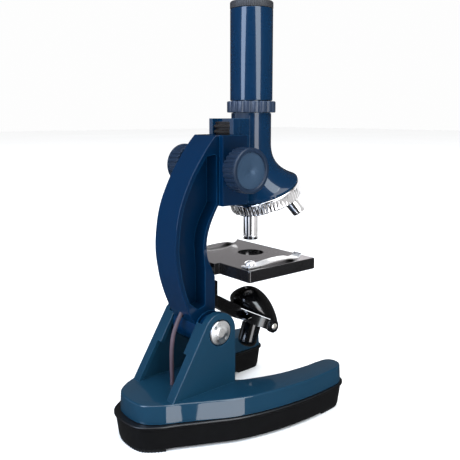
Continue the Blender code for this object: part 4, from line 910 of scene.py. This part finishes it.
def finish_cad_nodes():
    """The small pieces whose CAD shape is right keep it and take a finish of their own."""
    finishes = {"zinc_steel": STEEL, "chrome": CHROME, "brass": BRASS, "optical_glass": LENS,
                "rubber": RUBBER, "blue_glass": BLUE_GLASS, "battery_sleeve": CELL,
                "rack_black": RACK_BLACK, "black_plastic": BLACK}
    for name, node in frame["nodes"].items():
        if not node.hide_render:
            material = WASHER if name.startswith("friction_washer") else finishes[SLOT_OF[name]]
            node.data.materials.clear()
            node.data.materials.append(material)


# ---------------------------------------------------------------- studio
MIDDLE_HEIGHT = 0.12                   # point of the microscope that the lights face, in metres
CARD_DISTANCE = 2.0
WORLD_DIFFUSE, WORLD_GLOSSY, WORLD_BEHIND = 1.05, 0.05, 0.985
CAMERA_PLACE = (0.2452, -0.2176 + AXIS_Y, 0.1603)
CAMERA_YAW, CAMERA_PITCH = -50.42, -7.34
CAMERA_LENS, CAMERA_SHIFT, NEAR_CLIP = 46.95, -0.08, 0.01


def area_light(name, place, size, watts, colour, target=(0, 0, MIDDLE_HEIGHT)):
    """Rectangular light facing the target, hidden from the camera."""
    light = bpy.data.lights.new(name, "AREA")
    light.shape = "RECTANGLE"
    light.size, light.size_y = size
    light.energy = watts
    light.color = linear(*colour)
    lamp = bpy.data.objects.new(name, light)
    bpy.context.scene.collection.objects.link(lamp)
    lamp.location = place
    lamp.rotation_euler = (Vector(place) - Vector(target)).to_track_quat("Z", "Y").to_euler()
    lamp.visible_camera = False
    return lamp


def card(name, azimuths, elevations, radiance, colour, only=None):
    """Softbox filling these angles as seen from the microscope; only names the pieces that it lights."""
    a, e = math.radians(sum(azimuths) / 2), math.radians(sum(elevations) / 2)
    way = Vector((math.cos(a) * math.cos(e), math.sin(a) * math.cos(e), math.sin(e)))
    size = [2 * CARD_DISTANCE * math.tan(math.radians(b - a) / 2) for a, b in (azimuths, elevations)]
    middle = Vector((0, AXIS_Y, MIDDLE_HEIGHT))
    lamp = area_light(name, middle + way * CARD_DISTANCE, size, radiance * math.pi * size[0] * size[1],
                      colour, middle)
    if only:
        lit = bpy.data.collections.new(name + "_lights")
        for piece in only:
            lit.objects.link(piece)
        lamp.light_linking.receiver_collection = lit


def shown_pieces():
    return [o for o in bpy.data.objects if o.type == "MESH" and not o.hide_render]


def pieces_with(*materials):
    return [o for o in shown_pieces() if o.data.materials and o.data.materials[0] in materials]


def studio_floor():
    """White paper that the glossy parts don't mirror."""
    bm = bmesh.new()
    bmesh.ops.create_grid(bm, x_segments=1, y_segments=1, size=6)
    floor = mesh_object("studio_floor", bm)
    n = Nodes("studio_paper")
    shade = n.mix(n.spread(n.noise(2), 0, 1), (0.95, 0.95, 0.95), (0.97, 0.97, 0.97))
    n.put(shade, n.shader.inputs["Base Color"])
    n.set(Roughness=0.9)
    floor.data.materials.append(n.material)
    floor.visible_glossy = False


def studio_lights():
    """Cards for everything, cards that leave the arm out, and cards for one finish each."""
    arm = pieces_with(ARM_BLUE)
    rest = [o for o in shown_pieces() if o not in arm]
    metals = pieces_with(CHROME, CLIP_METAL, STEEL, NUT_METAL, BRASS)
    card("strip_left", (-99, -77), (2, 62), 8, (205, 222, 248))
    card("strip_right", (-16, 9), (2, 62), 6, (224, 234, 240), rest)
    card("panel_left", (-150, -55), (-12, 2), 0.9, (214, 228, 250), rest)
    card("panel_right", (-22, 2), (-25, 2), 5, (240, 240, 242), rest)
    area_light("softbox_top", (0.2, -0.1, 1.7), (1.2, 1.2), 12, (255, 255, 255))
    card("stage_glow", (85, 133), (1, 40), 1.1, (252, 246, 250), pieces_with(STAGE_BLACK))
    card("stage_dim", (133, 170), (1, 40), 0.34, (252, 246, 250), pieces_with(STAGE_BLACK))
    card("base_glow", (85, 170), (1, 40), 0.08, (250, 250, 250), pieces_with(BASE_BLUE))
    card("clip_glow", (60, 200), (2, 85), 1.0, (250, 250, 250), pieces_with(CLIP_METAL))
    card("metal_left", (-125, -52), (-40, 60), 0.7, (244, 246, 252), metals)
    card("metal_right", (-22, 60), (-40, 60), 0.7, (250, 248, 246), metals)
    card("metal_back", (62, 195), (-30, 65), 1.1, (250, 250, 250), metals)
    card("metal_below", (-80, -10), (-85, -50), 0.8, (250, 250, 250), metals)
    card("metal_above", (-80, -10), (62, 88), 1.1, (250, 250, 250), metals)


def studio_world():
    """White surroundings: full for diffuse light, faint in reflections, near white behind."""
    world = bpy.data.worlds.new("studio_world")
    bpy.context.scene.world = world
    world.use_nodes = True
    tree = world.node_tree
    tree.nodes.clear()
    new, wire = tree.nodes.new, tree.links.new
    path = new("ShaderNodeLightPath")
    glossy = new("ShaderNodeMix")
    wire(path.outputs["Is Glossy Ray"], glossy.inputs[0])
    glossy.inputs[2].default_value = WORLD_DIFFUSE
    glossy.inputs[3].default_value = WORLD_GLOSSY
    seen = new("ShaderNodeMix")
    wire(path.outputs["Is Camera Ray"], seen.inputs[0])
    wire(glossy.outputs[0], seen.inputs[2])
    seen.inputs[3].default_value = WORLD_BEHIND
    background, output = new("ShaderNodeBackground"), new("ShaderNodeOutputWorld")
    wire(seen.outputs[0], background.inputs["Strength"])
    background.inputs["Color"].default_value = (1, 1, 1, 1)
    wire(background.outputs[0], output.inputs["Surface"])


def camera():
    """Camera in front and to the right, a little above the stage."""
    data = bpy.data.cameras.new("camera")
    data.lens = CAMERA_LENS
    data.shift_y = CAMERA_SHIFT
    data.clip_start = NEAR_CLIP
    view = bpy.data.objects.new("camera", data)
    bpy.context.scene.collection.objects.link(view)
    view.location = CAMERA_PLACE
    yaw, pitch = math.radians(CAMERA_YAW), math.radians(CAMERA_PITCH)
    way = Vector((math.sin(yaw) * math.cos(pitch), math.cos(yaw) * math.cos(pitch), math.sin(pitch)))
    view.rotation_euler = way.to_track_quat("-Z", "Y").to_euler()
    bpy.context.scene.camera = view


build_base()
build_hinge()
build_lead()
build_arm()
build_stage()
build_knobs()
build_tube()
build_turret()
build_upper()
build_bracket()
build_lamp()
finish_cad_nodes()
studio_floor()
studio_lights()
studio_world()
camera()
bpy.context.scene.view_settings.view_transform = "Standard"
